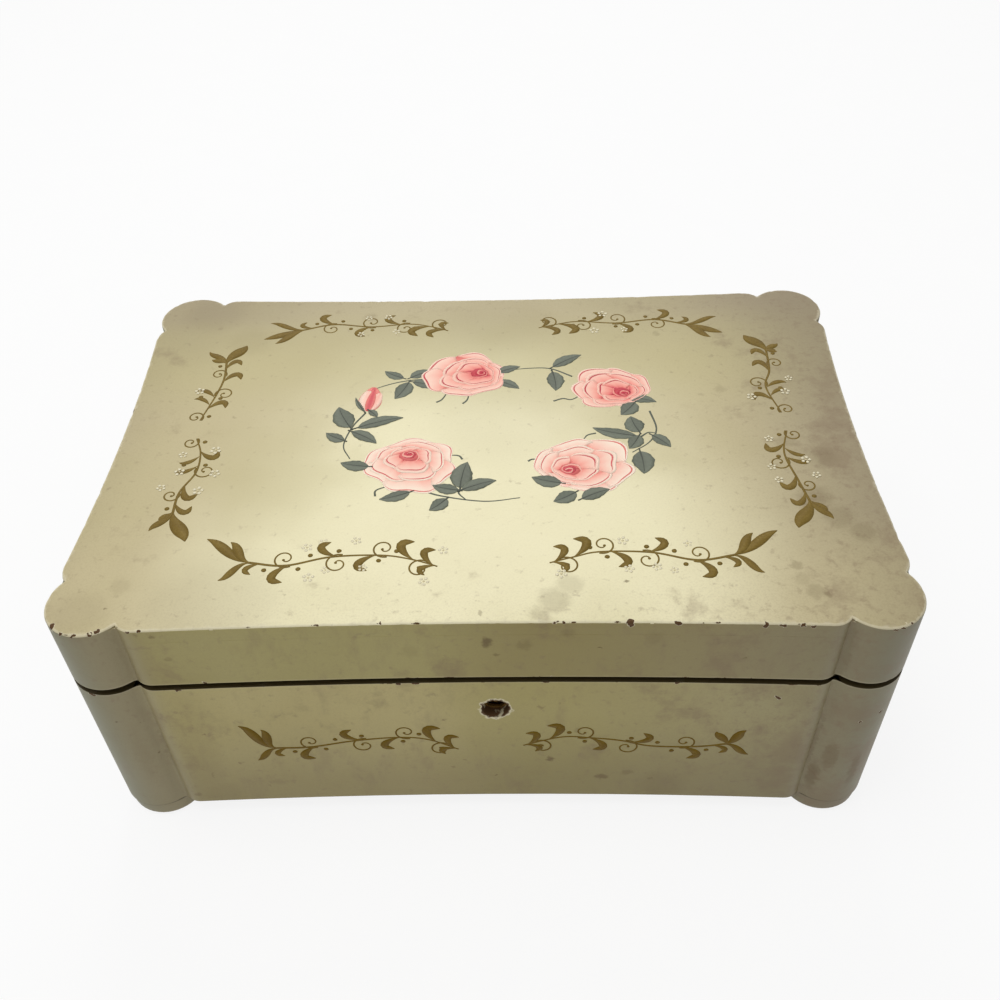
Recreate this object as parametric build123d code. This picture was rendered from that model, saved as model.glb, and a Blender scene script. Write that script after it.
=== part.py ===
from build123d import *
import math
import os

os.makedirs("parts", exist_ok=True)

# All sizes are millimetres. X runs left to right, +Y to the back, +Z up, the floor is z = 0.

# Outline of the case and the lid
box_width = 266.8
box_depth = 179.2
lobe_radius = 13.7
front_notch_offset = 10.0
side_notch_offset = 8.6
front_shoulder_length = 5.7
front_shoulder_drop = 1.6
front_waist_drop = 3.8
side_shoulder_length = 6.0
side_shoulder_drop = 1.0
side_waist_drop = 3.2

# Heights of the case and the lid
foot_height = 7.3
case_height = 69.3
lid_height = 26.8
top_board_thickness = 6.0
top_edge_radius = 0.8
top_edge_steps = 3
groove_height = 2.6
groove_depth = 2.2
front_wall = 8.8
side_wall = 8.9

# Feet
foot_radius = 14.0
foot_inset = 0.4
foot_edge_radius = 2.5

# Bottom board and its nails
board_recess = 6.0
board_thickness = 5.0
board_seat = 4.5
nail_end_margin = 9.0
nail_radius = 0.7
nail_head_radius = 1.6
nail_head_height = 0.8
nail_length = 13.0
nails_per_long_side = 5
nails_per_short_side = 3

# Lining and dividers
lining_thickness = 1.8
lining_top_gap = 1.2
divider_thickness = 3.0
divider_height = 29.7
ring_bay_width = 73.0
piece_gap = 0.3

# Ring rolls
roll_count = 6
roll_height = 21.0
roll_gap = 0.5

# Clear cover over the movement
cover_thickness = 2.0

# Lock
lock_x = 3.2
keyhole_drop = 17.1
keyhole_radius = 4.5
lock_case_width = 31.6
lock_case_height = 26.0
lock_case_thickness = 5.2
lock_sheet = 0.8
selvedge_width = 41.0
selvedge_depth = 6.0
selvedge_thickness = 1.2
key_post_radius = 1.0
loop_spacing = 16.0
loop_thickness = 1.2
loop_width = 3.0
loop_drop = 6.5
loop_hole_width = 1.8
loop_hole_height = 2.6
loop_hole_foot = 1.2
bolt_thickness = 2.0
bolt_bar_height = 3.0
bolt_prong_length = 4.0
bolt_upright = 1.5
bolt_travel = 4.0
bolt_gap = 0.3
lock_clearance = 0.3
lock_screw_radius = 0.9
lock_screw_head_radius = 1.5
lock_screw_length = 9.0
lock_screw_inset = 1.8
link_screw_inset = 2.1
link_plate_width = 36.0
link_plate_depth = 4.8

# Hinges
hinge_x = 55.0
hinge_length = 28.0
hinge_axis_drop = 2.0
knuckle_radius = 1.9
knuckle_count = 5
knuckle_gap = 0.2
hinge_pin_radius = 0.9
hinge_bore_radius = 0.95
leaf_thickness = 0.9
leaf_depth = 8.6
leaf_gap = 0.05
hinge_clearance = 0.35
hinge_screw_radius = 1.0
hinge_screw_length = 8.0
hinge_screw_spacing = 18.0
hinge_screw_inset = 3.4

# Lid lining and mirror
ceiling_lining_thickness = 4.0
mirror_width = 176.0
mirror_depth = 111.0
mirror_thickness = 2.2
mirror_lip = 4.0

# Stop tab on the lid
tab_width = 6.0
tab_height = 4.0
tab_reach = 4.4

# Movement: bedplate and the room round it
bed_left = 29.0
bed_right = 31.5
bed_front = 28.0
bed_back = 24.0
bed_left_gap = 7.7
bed_right_gap = 7.8
bed_front_gap = 1.85
bed_back_gap = 1.85
bed_thickness = 3.0
bed_corner_radius = 3.0
movement_screw_radius = 1.3
movement_screw_head_radius = 2.4
movement_screw_head_height = 1.4
movement_screw_depth = 2.4

# Movement: barrel, arbor and key
axle_v = -4.0
barrel_u = -15.0
barrel_radius = 10.5
barrel_height = 11.6
barrel_sheet = 1.0
barrel_clearance = 0.7
arbor_radius = 2.5
arbor_pivot_radius = 1.2
arbor_foot_radius = 1.6
running_clearance = 0.08
crown_radius = 11.8
crown_thickness = 1.0
crown_teeth = 36
crown_pitch_radius = 10.7
crown_face = 2.0
crown_tooth_height = 1.1
crown_tooth_width = 0.6
spring_turns = 6
spring_strip = 0.35
spring_strip_gap = 0.4
spring_points_per_turn = 24
key_stem_radius = 3.2
key_floor_gap = 2.0
key_socket_floor = 1.0
key_wing_width = 20.0
key_wing_thickness = 1.6
key_wing_height = 7.5
key_hole_radius = 2.2
key_corner_radius = 3.4
key_slot_radius = 4.9
arbor_shoulder_lift = 1.0

# Movement: cylinder and its wheels
pinion_teeth = 12
cylinder_radius = 6.5
cylinder_start = -2.0
cylinder_length = 23.0
cylinder_shaft_radius = 1.0
pin_radius = 0.22
pin_height = 0.6
pins_per_track = 5
tune_turn = 137.5
wheel_module = 0.5
wheel_teeth = 36
wheel_face = 2.0
wheel_gap = 1.0
third_pinion_teeth = 9
third_wheel_teeth = 24
third_wheel_face = 1.6
third_wheel_gap = 1.0
third_shaft_radius = 0.8
third_drop_angle = 35.0
tooth_share = 0.36
tooth_tip_share = 0.35
tooth_root_share = 0.6
addendum_share = 0.8
dedendum_share = 1.1

# Movement: comb
tine_count = 18
tine_pitch = 1.25
tine_width = 0.9
comb_thickness = 1.0
comb_reach = 9.6
comb_base_depth = 6.0
comb_slant = 3.0
comb_pin_gap = 0.3
comb_margin = 1.0
comb_screw_radius = 1.1
comb_screw_head_radius = 1.9
comb_screw_head_height = 1.2
comb_screw_shares = (0.25, 0.75)

# Movement: brackets and governor
bracket_sheet = 1.6
bracket_half_width = 3.0
bridge_height = 1.2
bridge_pillar_radius = 1.75
bridge_pillar_reach = 14.5
bridge_gap = 0.8
lug_height = 3.2
worm_core_radius = 1.0
worm_outer_radius = 1.9
worm_pitch_radius = 1.6
worm_thread_width = 0.42
worm_turns = 4
worm_thread_sink = 0.2
governor_shaft_radius = 0.5
fly_radius = 4.6
fly_thickness = 0.8
vane_radius = 3.2
vane_height = 5.4
vane_thickness = 0.7
fly_gap = 1.0
vane_gap = 0.6
governor_post_reach = 8.3

# Stop pin
stop_pin_radius = 0.9
stop_pin_wall_gap = 0.3
stop_guide_height = 8.0
stop_guide_wall = 1.6
stop_guide_foot = 1.0
stop_pad_reach = 4.0
stop_pad_size = 1.0
stop_arm_width = 1.6
stop_arm_thickness = 1.2
stop_pad_height = 1.5

# Levels and planes that follow from the sizes above
half_width = box_width / 2
half_depth = box_depth / 2
lobe_x = half_width - lobe_radius
lobe_y = half_depth - lobe_radius
front_notch_x = lobe_x - front_notch_offset
front_notch_y = lobe_y + math.sqrt(lobe_radius**2 - front_notch_offset**2)
side_notch_y = lobe_y - side_notch_offset
side_notch_x = lobe_x + math.sqrt(lobe_radius**2 - side_notch_offset**2)
cavity_x = half_width - side_waist_drop - side_wall
cavity_y = half_depth - front_waist_drop - front_wall
room_x = cavity_x - lining_thickness
room_y = cavity_y - lining_thickness
parting_z = foot_height + case_height
lid_top_z = parting_z + lid_height
ceiling_z = lid_top_z - top_board_thickness
board_bottom_z = foot_height + board_recess
board_top_z = board_bottom_z + board_thickness
floor_z = board_top_z + lining_thickness
divider_top_z = floor_z + divider_height
hinge_axis_y = half_depth - hinge_axis_drop
keyhole_z = parting_z - keyhole_drop
movement_x = -room_x + bed_left_gap + bed_left
movement_y = room_y - bed_back_gap - bed_back
long_back = movement_y - bed_front - bed_front_gap
long_front = long_back - divider_thickness
long_divider_y = (long_back + long_front) / 2
movement_divider_x = movement_x + bed_right + bed_right_gap + divider_thickness / 2
ring_divider_x = -room_x + ring_bay_width + divider_thickness / 2


def block(x_range, y_range, z_range):
    """A box between two values on each axis."""
    size = [high - low for low, high in (x_range, y_range, z_range)]
    middle = [(high + low) / 2 for low, high in (x_range, y_range, z_range)]
    return Pos(*middle) * Box(*size)


def upright_rod(x, y, z_range, radius):
    """A vertical cylinder between two heights."""
    low, high = z_range
    return Pos(x, y, (low + high) / 2) * Cylinder(radius, high - low)


def cross_rod(x_range, y, z, radius):
    """A cylinder along X between two places."""
    low, high = x_range
    return Pos((low + high) / 2, y, z) * Rot(0, 90, 0) * Cylinder(radius, high - low)


def deep_rod(x, y_range, z, radius):
    """A cylinder along Y between two places."""
    low, high = y_range
    return Pos(x, (low + high) / 2, z) * Rot(90, 0, 0) * Cylinder(radius, high - low)


def headed_screw(x, y, head_z, length, radius, head_radius, head_height, up):
    """A round shank with a flat cylindrical head; up is +1 when the tip points up."""
    head_end = head_z + up * head_height
    tip = head_z + up * length
    head = upright_rod(x, y, sorted((head_z, head_end)), head_radius)
    shank = upright_rod(x, y, sorted((head_end, tip)), radius)
    return head + shank


# Outline shared by the case and the lid

def mirrored(point):
    """The same place on the other half of a side."""
    return (-point[0], point[1])


def side_edges(shoulder, waist, notch):
    """One bowed side from its right half: a long hollow arc with a small round shoulder at each end."""
    hollow = ThreePointArc(mirrored(shoulder), waist, shoulder)
    right = TangentArc(hollow @ 1, notch, tangent=hollow % 1)
    left = TangentArc(hollow @ 0, mirrored(notch), tangent=-(hollow % 0))
    return [left, hollow, right]


def outline_face(inset):
    """The plan of the box, drawn in by inset: four bowed sides and four round lobes with sharp notches."""
    lobe = lobe_radius - inset
    shrink = lobe / lobe_radius
    front_notch = (lobe_x - front_notch_offset * shrink, lobe_y + (front_notch_y - lobe_y) * shrink)
    side_notch = (lobe_x + (side_notch_x - lobe_x) * shrink, lobe_y - side_notch_offset * shrink)
    front = side_edges(
        (front_notch_x - front_shoulder_length, inset + front_shoulder_drop - half_depth),
        (0, inset + front_waist_drop - half_depth),
        (front_notch[0], -front_notch[1]),
    )
    side = side_edges(
        (side_notch_y - side_shoulder_length, inset + side_shoulder_drop - half_width),
        (0, inset + side_waist_drop - half_width),
        (side_notch[1], -side_notch[0]),
    )
    reach = lobe / math.sqrt(2)
    edges = []
    edges += front
    edges += [edge.rotate(Axis.Z, 180) for edge in front]
    edges += [edge.rotate(Axis.Z, 90) for edge in side]
    edges += [edge.rotate(Axis.Z, -90) for edge in side]
    for sx in (-1, 1):
        for sy in (-1, 1):
            start = (sx * front_notch[0], sy * front_notch[1])
            middle = (sx * (lobe_x + reach), sy * (lobe_y + reach))
            end = (sx * side_notch[0], sy * side_notch[1])
            edges.append(ThreePointArc(start, middle, end))
    return make_face(Wire(edges))


plan = outline_face(0)
cavity_plan = Rectangle(2 * cavity_x, 2 * cavity_y)
ring_plan = plan - cavity_plan
groove_plan = plan - outline_face(groove_depth)


def wall_regions(z_range):
    """The boxes that part a ring of wall into four panels and four corner posts."""
    far_x = half_width + 1
    far_y = half_depth + 1
    regions = {
        "front": block((-front_notch_x, front_notch_x), (-far_y, -cavity_y), z_range),
        "back": block((-front_notch_x, front_notch_x), (cavity_y, far_y), z_range),
        "left": block((-far_x, -cavity_x), (-side_notch_y, side_notch_y), z_range),
        "right": block((cavity_x, far_x), (-side_notch_y, side_notch_y), z_range),
    }
    return regions


def corner_region(sx, sy, z_range):
    """The corner that the panels beside it leave for its post."""
    x_range = sorted((0, sx * (half_width + 1)))
    y_range = sorted((0, sy * (half_depth + 1)))
    corner = block(x_range, y_range, z_range)
    for region in wall_regions(z_range).values():
        corner -= region
    return corner


# Case walls: a groove round the top, a seat for the bottom board, then the split at the notches

case_range = (foot_height, parting_z)
case_ring = Pos(0, 0, foot_height) * extrude(ring_plan, case_height)
case_ring -= Pos(0, 0, parting_z - groove_height) * extrude(groove_plan, groove_height)
board_x = cavity_x + board_seat
board_y = cavity_y + board_seat
board_space = block((-board_x, board_x), (-board_y, board_y), (foot_height, board_top_z))
case_ring -= board_space

case_parts = {name: case_ring & region for name, region in wall_regions(case_range).items()}
corner_names = {
    (-1, -1): "front_left",
    (1, -1): "front_right",
    (-1, 1): "back_left",
    (1, 1): "back_right",
}
case_posts = {name: case_ring & corner_region(*signs, case_range) for signs, name in corner_names.items()}

bottom_board = block((-board_x, board_x), (-board_y, board_y), (board_bottom_z, board_top_z))


# Lid: top board over four rails and four posts

lid_range = (parting_z, ceiling_z)
lid_ring = Pos(0, 0, parting_z) * extrude(ring_plan, ceiling_z - parting_z)
lid_parts = {name: lid_ring & region for name, region in wall_regions(lid_range).items()}
lid_posts = {name: lid_ring & corner_region(*signs, lid_range) for signs, name in corner_names.items()}
lid_top_board = Pos(0, 0, ceiling_z) * extrude(plan, top_board_thickness - top_edge_radius)
for step in range(top_edge_steps):
    rings = []
    for turn in (step, step + 1):
        angle = math.radians(90 * turn / top_edge_steps)
        ring_inset = top_edge_radius * (1 - math.cos(angle))
        ring_z = lid_top_z - top_edge_radius * (1 - math.sin(angle))
        rings.append(Pos(0, 0, ring_z) * outline_face(ring_inset))
    lid_top_board += loft(rings, ruled=True)


# Feet under the corner posts

feet = {}
for (sx, sy), name in corner_names.items():
    inset = lobe_radius - foot_radius - foot_inset
    foot = upright_rod(sx * (lobe_x + inset), sy * (lobe_y + inset), (0, foot_height), foot_radius)
    feet[name] = fillet(foot.edges().sort_by(Axis.Z)[0], foot_edge_radius)


# Nails that hold the bottom board to the seat

nail_places = []
nail_line_x = cavity_x + board_seat / 2
nail_line_y = cavity_y + board_seat / 2
for index in range(nails_per_long_side):
    x = (index / (nails_per_long_side - 1) - 0.5) * 2 * (front_notch_x - nail_end_margin)
    nail_places += [(x, -nail_line_y), (x, nail_line_y)]
for index in range(nails_per_short_side):
    y = (index / (nails_per_short_side - 1) - 0.5) * 2 * (side_notch_y - nail_end_margin)
    nail_places += [(-nail_line_x, y), (nail_line_x, y)]


def nail(x, y):
    """One board nail, head down and flush with the underside of the board."""
    return headed_screw(x, y, board_bottom_z, nail_length, nail_radius, nail_head_radius, nail_head_height, 1)


board_nails = [nail(x, y) for x, y in nail_places]
for one_nail in board_nails:
    bottom_board -= one_nail
    for name in case_parts:
        case_parts[name] -= one_nail


# Floor and wall lining

floor_lining = block((-cavity_x, cavity_x), (-cavity_y, cavity_y), (board_top_z, floor_z))
wall_lining_top = parting_z - lining_top_gap
wall_lining = block((-cavity_x, cavity_x), (-cavity_y, cavity_y), (floor_z, wall_lining_top))
wall_lining -= block((-room_x, room_x), (-room_y, room_y), (floor_z, wall_lining_top))


# Dividers

divider_z = (floor_z, divider_top_z)
long_divider = block((-room_x, room_x), (long_front, long_back), divider_z)


def cross_divider(x, y_range):
    """A divider that runs front to back, centred on x."""
    half = divider_thickness / 2
    return block((x - half, x + half), y_range, divider_z)


movement_divider = cross_divider(movement_divider_x, (long_back, room_y))
ring_divider = cross_divider(ring_divider_x, (-room_y, long_front))


# Ring rolls: round-topped pads that lie side by side and grip rings between them

roll_left = -room_x + piece_gap
roll_right = ring_divider_x - divider_thickness / 2 - piece_gap
roll_span = long_front + room_y
roll_width = (roll_span - (roll_count + 1) * roll_gap) / roll_count
roll_shoulder = roll_height - roll_width / 2
ring_rolls = []
for index in range(roll_count):
    y = -room_y + roll_gap + roll_width / 2 + index * (roll_width + roll_gap)
    y_range = (y - roll_width / 2, y + roll_width / 2)
    body = block((roll_left, roll_right), y_range, (floor_z, floor_z + roll_shoulder))
    crown = cross_rod((roll_left, roll_right), y, floor_z + roll_shoulder, roll_width / 2)
    ring_rolls.append(body + crown)


# Lock: a cased slide lock let into the front panel, flush with its top and inner face

selvedge_bottom = parting_z - selvedge_thickness
lock_left = lock_x - lock_case_width / 2
lock_right = lock_x + lock_case_width / 2
lock_front = -cavity_y - lock_case_thickness
lock_bottom = parting_z - lock_case_height
lock_back = -cavity_y
selvedge_x = (lock_x - selvedge_width / 2, lock_x + selvedge_width / 2)
selvedge_y = (lock_back - selvedge_depth, lock_back)
lock_body = block((lock_left, lock_right), (lock_front, lock_back), (lock_bottom, selvedge_bottom))
selvedge = block(selvedge_x, selvedge_y, (selvedge_bottom, parting_z))
lock_outer = lock_body + selvedge
inside_y = (lock_front + lock_sheet, lock_back - lock_sheet)
inside_x = (lock_left + lock_sheet, lock_right - lock_sheet)
lock_case = lock_outer - block(inside_x, inside_y, (lock_bottom + lock_sheet, selvedge_bottom))
lock_centre_y = (inside_y[0] + inside_y[1]) / 2
key_opening_radius = keyhole_radius - lock_sheet
lock_case -= deep_rod(lock_x, (lock_front, inside_y[0]), keyhole_z, key_opening_radius)
lock_case += deep_rod(lock_x, (lock_front, inside_y[1]), keyhole_z, key_post_radius)

loop_bottom = parting_z - loop_drop
loop_places = (lock_x - loop_spacing / 2, lock_x + loop_spacing / 2)
loop_hole_bottom = loop_bottom + loop_hole_foot
loop_half_x = loop_thickness / 2
for x in loop_places:
    slot_half = loop_half_x + lock_clearance
    slot_y = (lock_centre_y - loop_width / 2 - lock_clearance, lock_centre_y + loop_width / 2 + lock_clearance)
    lock_case -= block((x - slot_half, x + slot_half), slot_y, (selvedge_bottom, parting_z))

prong_height = loop_hole_height - 2 * bolt_gap
prong_bottom = loop_hole_bottom + bolt_gap
prong_top = prong_bottom + prong_height
prong_y_half = loop_hole_width / 2 - bolt_gap
bar_top = loop_bottom - 2 * bolt_gap
bar_bottom = bar_top - bolt_bar_height
first_upright = loop_places[0] - loop_half_x - bolt_gap - bolt_prong_length - bolt_upright
last_upright = loop_places[1] - loop_half_x - bolt_gap - bolt_prong_length
bolt_y = (lock_centre_y - bolt_thickness / 2, lock_centre_y + bolt_thickness / 2)
lock_bolt = block((first_upright, last_upright), bolt_y, (bar_bottom, bar_top))
for x in loop_places:
    prong_end = x - loop_half_x - bolt_gap
    upright_right = prong_end - bolt_prong_length
    prong_y = (lock_centre_y - prong_y_half, lock_centre_y + prong_y_half)
    lock_bolt += block((upright_right - bolt_upright, upright_right), bolt_y, (bar_bottom, prong_top))
    lock_bolt += block((upright_right - bolt_upright, prong_end), prong_y, (prong_bottom, prong_top))

ledge_top = bar_bottom - bolt_gap / 2
ledge_bottom = ledge_top - lock_sheet
lock_case += block(inside_x, inside_y, (ledge_bottom, ledge_top))

lock_screw_x = selvedge_width / 2 - lock_screw_inset
lock_screws = []
for x in (lock_x - lock_screw_x, lock_x + lock_screw_x):
    y = lock_back - selvedge_depth / 2
    lock_screws.append(headed_screw(x, y, parting_z, lock_screw_length, lock_screw_radius,
                                    lock_screw_head_radius, selvedge_thickness / 2, -1))
for screw in lock_screws:
    lock_case -= screw

link_top = parting_z + selvedge_thickness
link_x = (lock_x - link_plate_width / 2, lock_x + link_plate_width / 2)
link_y = (lock_centre_y - link_plate_depth / 2, lock_centre_y + link_plate_depth / 2)
link_plate = block(link_x, link_y, (parting_z, link_top))
for x in loop_places:
    loop_y = (lock_centre_y - loop_width / 2, lock_centre_y + loop_width / 2)
    loop = block((x - loop_half_x, x + loop_half_x), loop_y, (loop_bottom, link_top))
    hole_y = (lock_centre_y - loop_hole_width / 2, lock_centre_y + loop_hole_width / 2)
    hole_z = (loop_hole_bottom, loop_hole_bottom + loop_hole_height)
    loop -= block((x - loop_thickness, x + loop_thickness), hole_y, hole_z)
    link_plate += loop

link_screw_x = link_plate_width / 2 - link_screw_inset
link_screws = []
for x in (lock_x - link_screw_x, lock_x + link_screw_x):
    link_screws.append(headed_screw(x, lock_centre_y, parting_z, lock_screw_length, lock_screw_radius,
                                    lock_screw_head_radius, selvedge_thickness / 2, 1))
for screw in link_screws:
    link_plate -= screw

case_parts["front"] -= lock_outer
case_parts["front"] -= deep_rod(lock_x, (-half_depth, lock_front), keyhole_z, keyhole_radius)
lid_parts["front"] -= block(link_x, link_y, (parting_z, link_top))
wall_lining -= block(selvedge_x, (-cavity_y, -room_y), (lock_bottom, parting_z))
for screw in lock_screws:
    case_parts["front"] -= screw
for screw in link_screws:
    lid_parts["front"] -= screw


# Hinges: butt hinges with the knuckles in the groove behind the back panel

knuckle_length = hinge_length / knuckle_count
leaf_front = hinge_axis_y - leaf_depth
leaf_clear_y = hinge_axis_y - knuckle_radius - hinge_clearance


def hinge_leaf(centre_x, z_range, is_case):
    """A flat leaf with its share of the knuckles; the case leaf has the odd ones at both ends."""
    left = centre_x - hinge_length / 2
    leaf = block((left, left + hinge_length), (leaf_front, leaf_clear_y), z_range)
    for index in range(knuckle_count):
        if (index % 2 == 0) != is_case:
            continue
        start = left + index * knuckle_length + knuckle_gap / 2
        end = start + knuckle_length - knuckle_gap
        leaf += block((start, end), (leaf_clear_y, hinge_axis_y), z_range)
        leaf += cross_rod((start, end), hinge_axis_y, parting_z, knuckle_radius)
    leaf -= cross_rod((left, left + hinge_length), hinge_axis_y, parting_z, hinge_bore_radius)
    return leaf


case_leaf_z = (parting_z - leaf_gap - leaf_thickness, parting_z - leaf_gap)
lid_leaf_z = (parting_z + leaf_gap, parting_z + leaf_gap + leaf_thickness)
case_leaves = {}
lid_leaves = {}
hinge_pins = []
hinge_case_screws = []
hinge_lid_screws = []
for name, centre_x in (("left", -hinge_x), ("right", hinge_x)):
    left = centre_x - hinge_length / 2
    right = centre_x + hinge_length / 2
    case_leaves[name] = hinge_leaf(centre_x, case_leaf_z, True)
    lid_leaves[name] = hinge_leaf(centre_x, lid_leaf_z, False)
    hinge_pins.append(cross_rod((left, right), hinge_axis_y, parting_z, hinge_pin_radius))
    case_pocket_z = (case_leaf_z[0], parting_z)
    lid_pocket_z = (parting_z, lid_leaf_z[1])
    case_parts["back"] -= block((left, right), (leaf_front, half_depth), case_pocket_z)
    lid_parts["back"] -= block((left, right), (leaf_front, leaf_clear_y), lid_pocket_z)
    gain = (left - hinge_clearance, right + hinge_clearance)
    lid_parts["back"] -= cross_rod(gain, hinge_axis_y, parting_z, knuckle_radius + hinge_clearance)
    lid_parts["back"] -= block(gain, (leaf_clear_y, half_depth), lid_pocket_z)
    for x in (centre_x - hinge_screw_spacing / 2, centre_x + hinge_screw_spacing / 2):
        y = leaf_front + hinge_screw_inset
        hinge_case_screws.append(headed_screw(x, y, case_leaf_z[1], hinge_screw_length, hinge_screw_radius,
                                              lock_screw_head_radius, leaf_thickness / 2, -1))
        hinge_lid_screws.append(headed_screw(x, y, lid_leaf_z[0], hinge_screw_length, hinge_screw_radius,
                                             lock_screw_head_radius, leaf_thickness / 2, 1))
for screw in hinge_case_screws:
    case_parts["back"] -= screw
    for name in case_leaves:
        case_leaves[name] -= screw
for screw in hinge_lid_screws:
    lid_parts["back"] -= screw
    for name in lid_leaves:
        lid_leaves[name] -= screw


# Movement: places of its main axles, worked out from the meshing wheels

def mx(u):
    """X of a place on the movement."""
    return movement_x + u


def my(v):
    """Y of a place on the movement."""
    return movement_y + v


bed_z = (board_top_z, board_top_z + bed_thickness)
bed_top = bed_z[1]
barrel_bottom = bed_top + barrel_clearance
barrel_top = barrel_bottom + barrel_height
crown_top = barrel_top + crown_thickness
crown_pitch_z = crown_top + crown_tooth_height / 2
pinion_pitch_radius = crown_pitch_radius * pinion_teeth / crown_teeth
cylinder_z = crown_pitch_z + pinion_pitch_radius
pinion_u = barrel_u + crown_pitch_radius
wheel_pitch_radius = wheel_module * wheel_teeth / 2
wheel_start = cylinder_start + cylinder_length + wheel_gap
wheel_end = wheel_start + wheel_face
third_distance = wheel_module * (wheel_teeth + third_pinion_teeth) / 2
third_v = axle_v + third_distance * math.cos(math.radians(third_drop_angle))
third_z = cylinder_z - third_distance * math.sin(math.radians(third_drop_angle))
third_radius = wheel_module * third_wheel_teeth / 2
third_wheel_start = wheel_end + third_wheel_gap
third_wheel_end = third_wheel_start + third_wheel_face
governor_u = (third_wheel_start + third_wheel_end) / 2
governor_v = third_v + third_radius + worm_pitch_radius
worm_lead = math.pi * wheel_module
post_start = third_wheel_end + third_wheel_gap
post_end = post_start + bracket_sheet
fly_bottom = third_z + third_radius + fly_gap
fly_top = fly_bottom + fly_thickness
vane_top = fly_top + vane_height


def toothed_disc(teeth, module, share, turn):
    """The face of a spur wheel with straight-sided teeth; turn is the angle of its first tooth."""
    pitch_radius = module * teeth / 2
    tip_radius = pitch_radius + addendum_share * module
    root_radius = pitch_radius - dedendum_share * module
    step = 360 / teeth
    flanks = [
        (root_radius, -tooth_root_share),
        (tip_radius, -tooth_tip_share),
        (tip_radius, tooth_tip_share),
        (root_radius, tooth_root_share),
    ]
    points = []
    for index in range(teeth):
        middle = turn + index * step
        for radius, flank_share in flanks:
            angle = math.radians(middle + flank_share * share * step)
            points.append((radius * math.cos(angle), radius * math.sin(angle)))
    return make_face(Polyline(*points, close=True))


def axle_plane(u, v, z):
    """A plane square to X, whose own X is the row's Y, for wheels on the cross axles."""
    return Plane(origin=(mx(u), my(v), z), x_dir=(0, 1, 0), z_dir=(1, 0, 0))


# Bedplate with the block that carries the comb

comb_bottom = cylinder_z - comb_thickness / 2
comb_tip_v = axle_v - cylinder_radius - pin_height - comb_pin_gap
comb_base_v = comb_tip_v - comb_reach
comb_back_v = comb_base_v - comb_base_depth
comb_left = cylinder_start + comb_margin / 2
comb_width = tine_count * tine_pitch
bedplate = block((mx(-bed_left), mx(bed_right)), (my(-bed_front), my(bed_back)), bed_z)
bedplate = fillet(bedplate.edges().filter_by(Axis.Z), bed_corner_radius)
comb_block_x = (mx(comb_left), mx(comb_left + comb_width))
bedplate += block(comb_block_x, (my(comb_back_v), my(comb_base_v)), (bed_top, comb_bottom))
stop_v = room_y - stop_pin_wall_gap - stop_pin_radius - movement_y
guide_half = stop_guide_wall + stop_pin_radius / 2
guide_x = (mx(governor_u) - guide_half, mx(governor_u) + guide_half)
guide_y = (my(stop_v) - guide_half - stop_guide_foot, my(stop_v) + stop_pin_radius)
guide_z = (bed_z[0], bed_top + stop_guide_height)
bedplate += block(guide_x, guide_y, guide_z)
bedplate -= upright_rod(mx(governor_u), my(stop_v), guide_z, stop_pin_radius + running_clearance)
bedplate -= upright_rod(mx(barrel_u), my(axle_v), bed_z, arbor_radius + running_clearance)
bedplate -= upright_rod(mx(governor_u), my(governor_v), bed_z, governor_shaft_radius + running_clearance)


# Spring barrel, its crown wheel, the mainspring, and the arbor that winds it

barrel_x = mx(barrel_u)
barrel_y = my(axle_v)
spring_barrel = upright_rod(barrel_x, barrel_y, (barrel_bottom, barrel_top), barrel_radius)
barrel_inside = (barrel_bottom + barrel_sheet, barrel_top)
spring_barrel -= upright_rod(barrel_x, barrel_y, barrel_inside, barrel_radius - barrel_sheet)
spring_barrel -= upright_rod(barrel_x, barrel_y, (barrel_bottom, barrel_top), arbor_radius + running_clearance)

crown_wheel = upright_rod(barrel_x, barrel_y, (barrel_top, crown_top), crown_radius)
crown_ribs = []
for index in range(crown_teeth):
    rib_x = (crown_pitch_radius - crown_face / 2, crown_pitch_radius + crown_face / 2)
    rib_y = (-crown_tooth_width / 2, crown_tooth_width / 2)
    rib = block(rib_x, rib_y, (crown_top, crown_top + crown_tooth_height))
    crown_ribs.append(Pos(barrel_x, barrel_y, 0) * Rot(0, 0, index * 360 / crown_teeth) * rib)
crown_wheel += crown_ribs
crown_wheel -= upright_rod(barrel_x, barrel_y, (barrel_top, crown_top), arbor_radius + running_clearance)

spiral_start = arbor_radius + spring_strip_gap
spiral_end = barrel_radius - barrel_sheet - spring_strip_gap - spring_strip
spiral_steps = spring_points_per_turn * spring_turns


def spiral_points(extra):
    """Points along the mainspring, from the arbor out to the barrel wall."""
    points = []
    for index in range(spiral_steps + 1):
        share = index / spiral_steps
        radius = spiral_start + share * (spiral_end - spiral_start) + extra
        angle = 2 * math.pi * spring_turns * share
        points.append((radius * math.cos(angle), radius * math.sin(angle)))
    return points


inner_edge = Spline(*spiral_points(0))
outer_edge = Spline(*spiral_points(spring_strip))
spring_ends = [Line(inner_edge @ 0, outer_edge @ 0), Line(inner_edge @ 1, outer_edge @ 1)]
spring_face = make_face([inner_edge, outer_edge] + spring_ends)
spring_bottom = barrel_bottom + barrel_sheet + running_clearance
spring_height = barrel_top - running_clearance - spring_bottom
mainspring = Pos(barrel_x, barrel_y, spring_bottom) * extrude(spring_face, spring_height)

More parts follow.
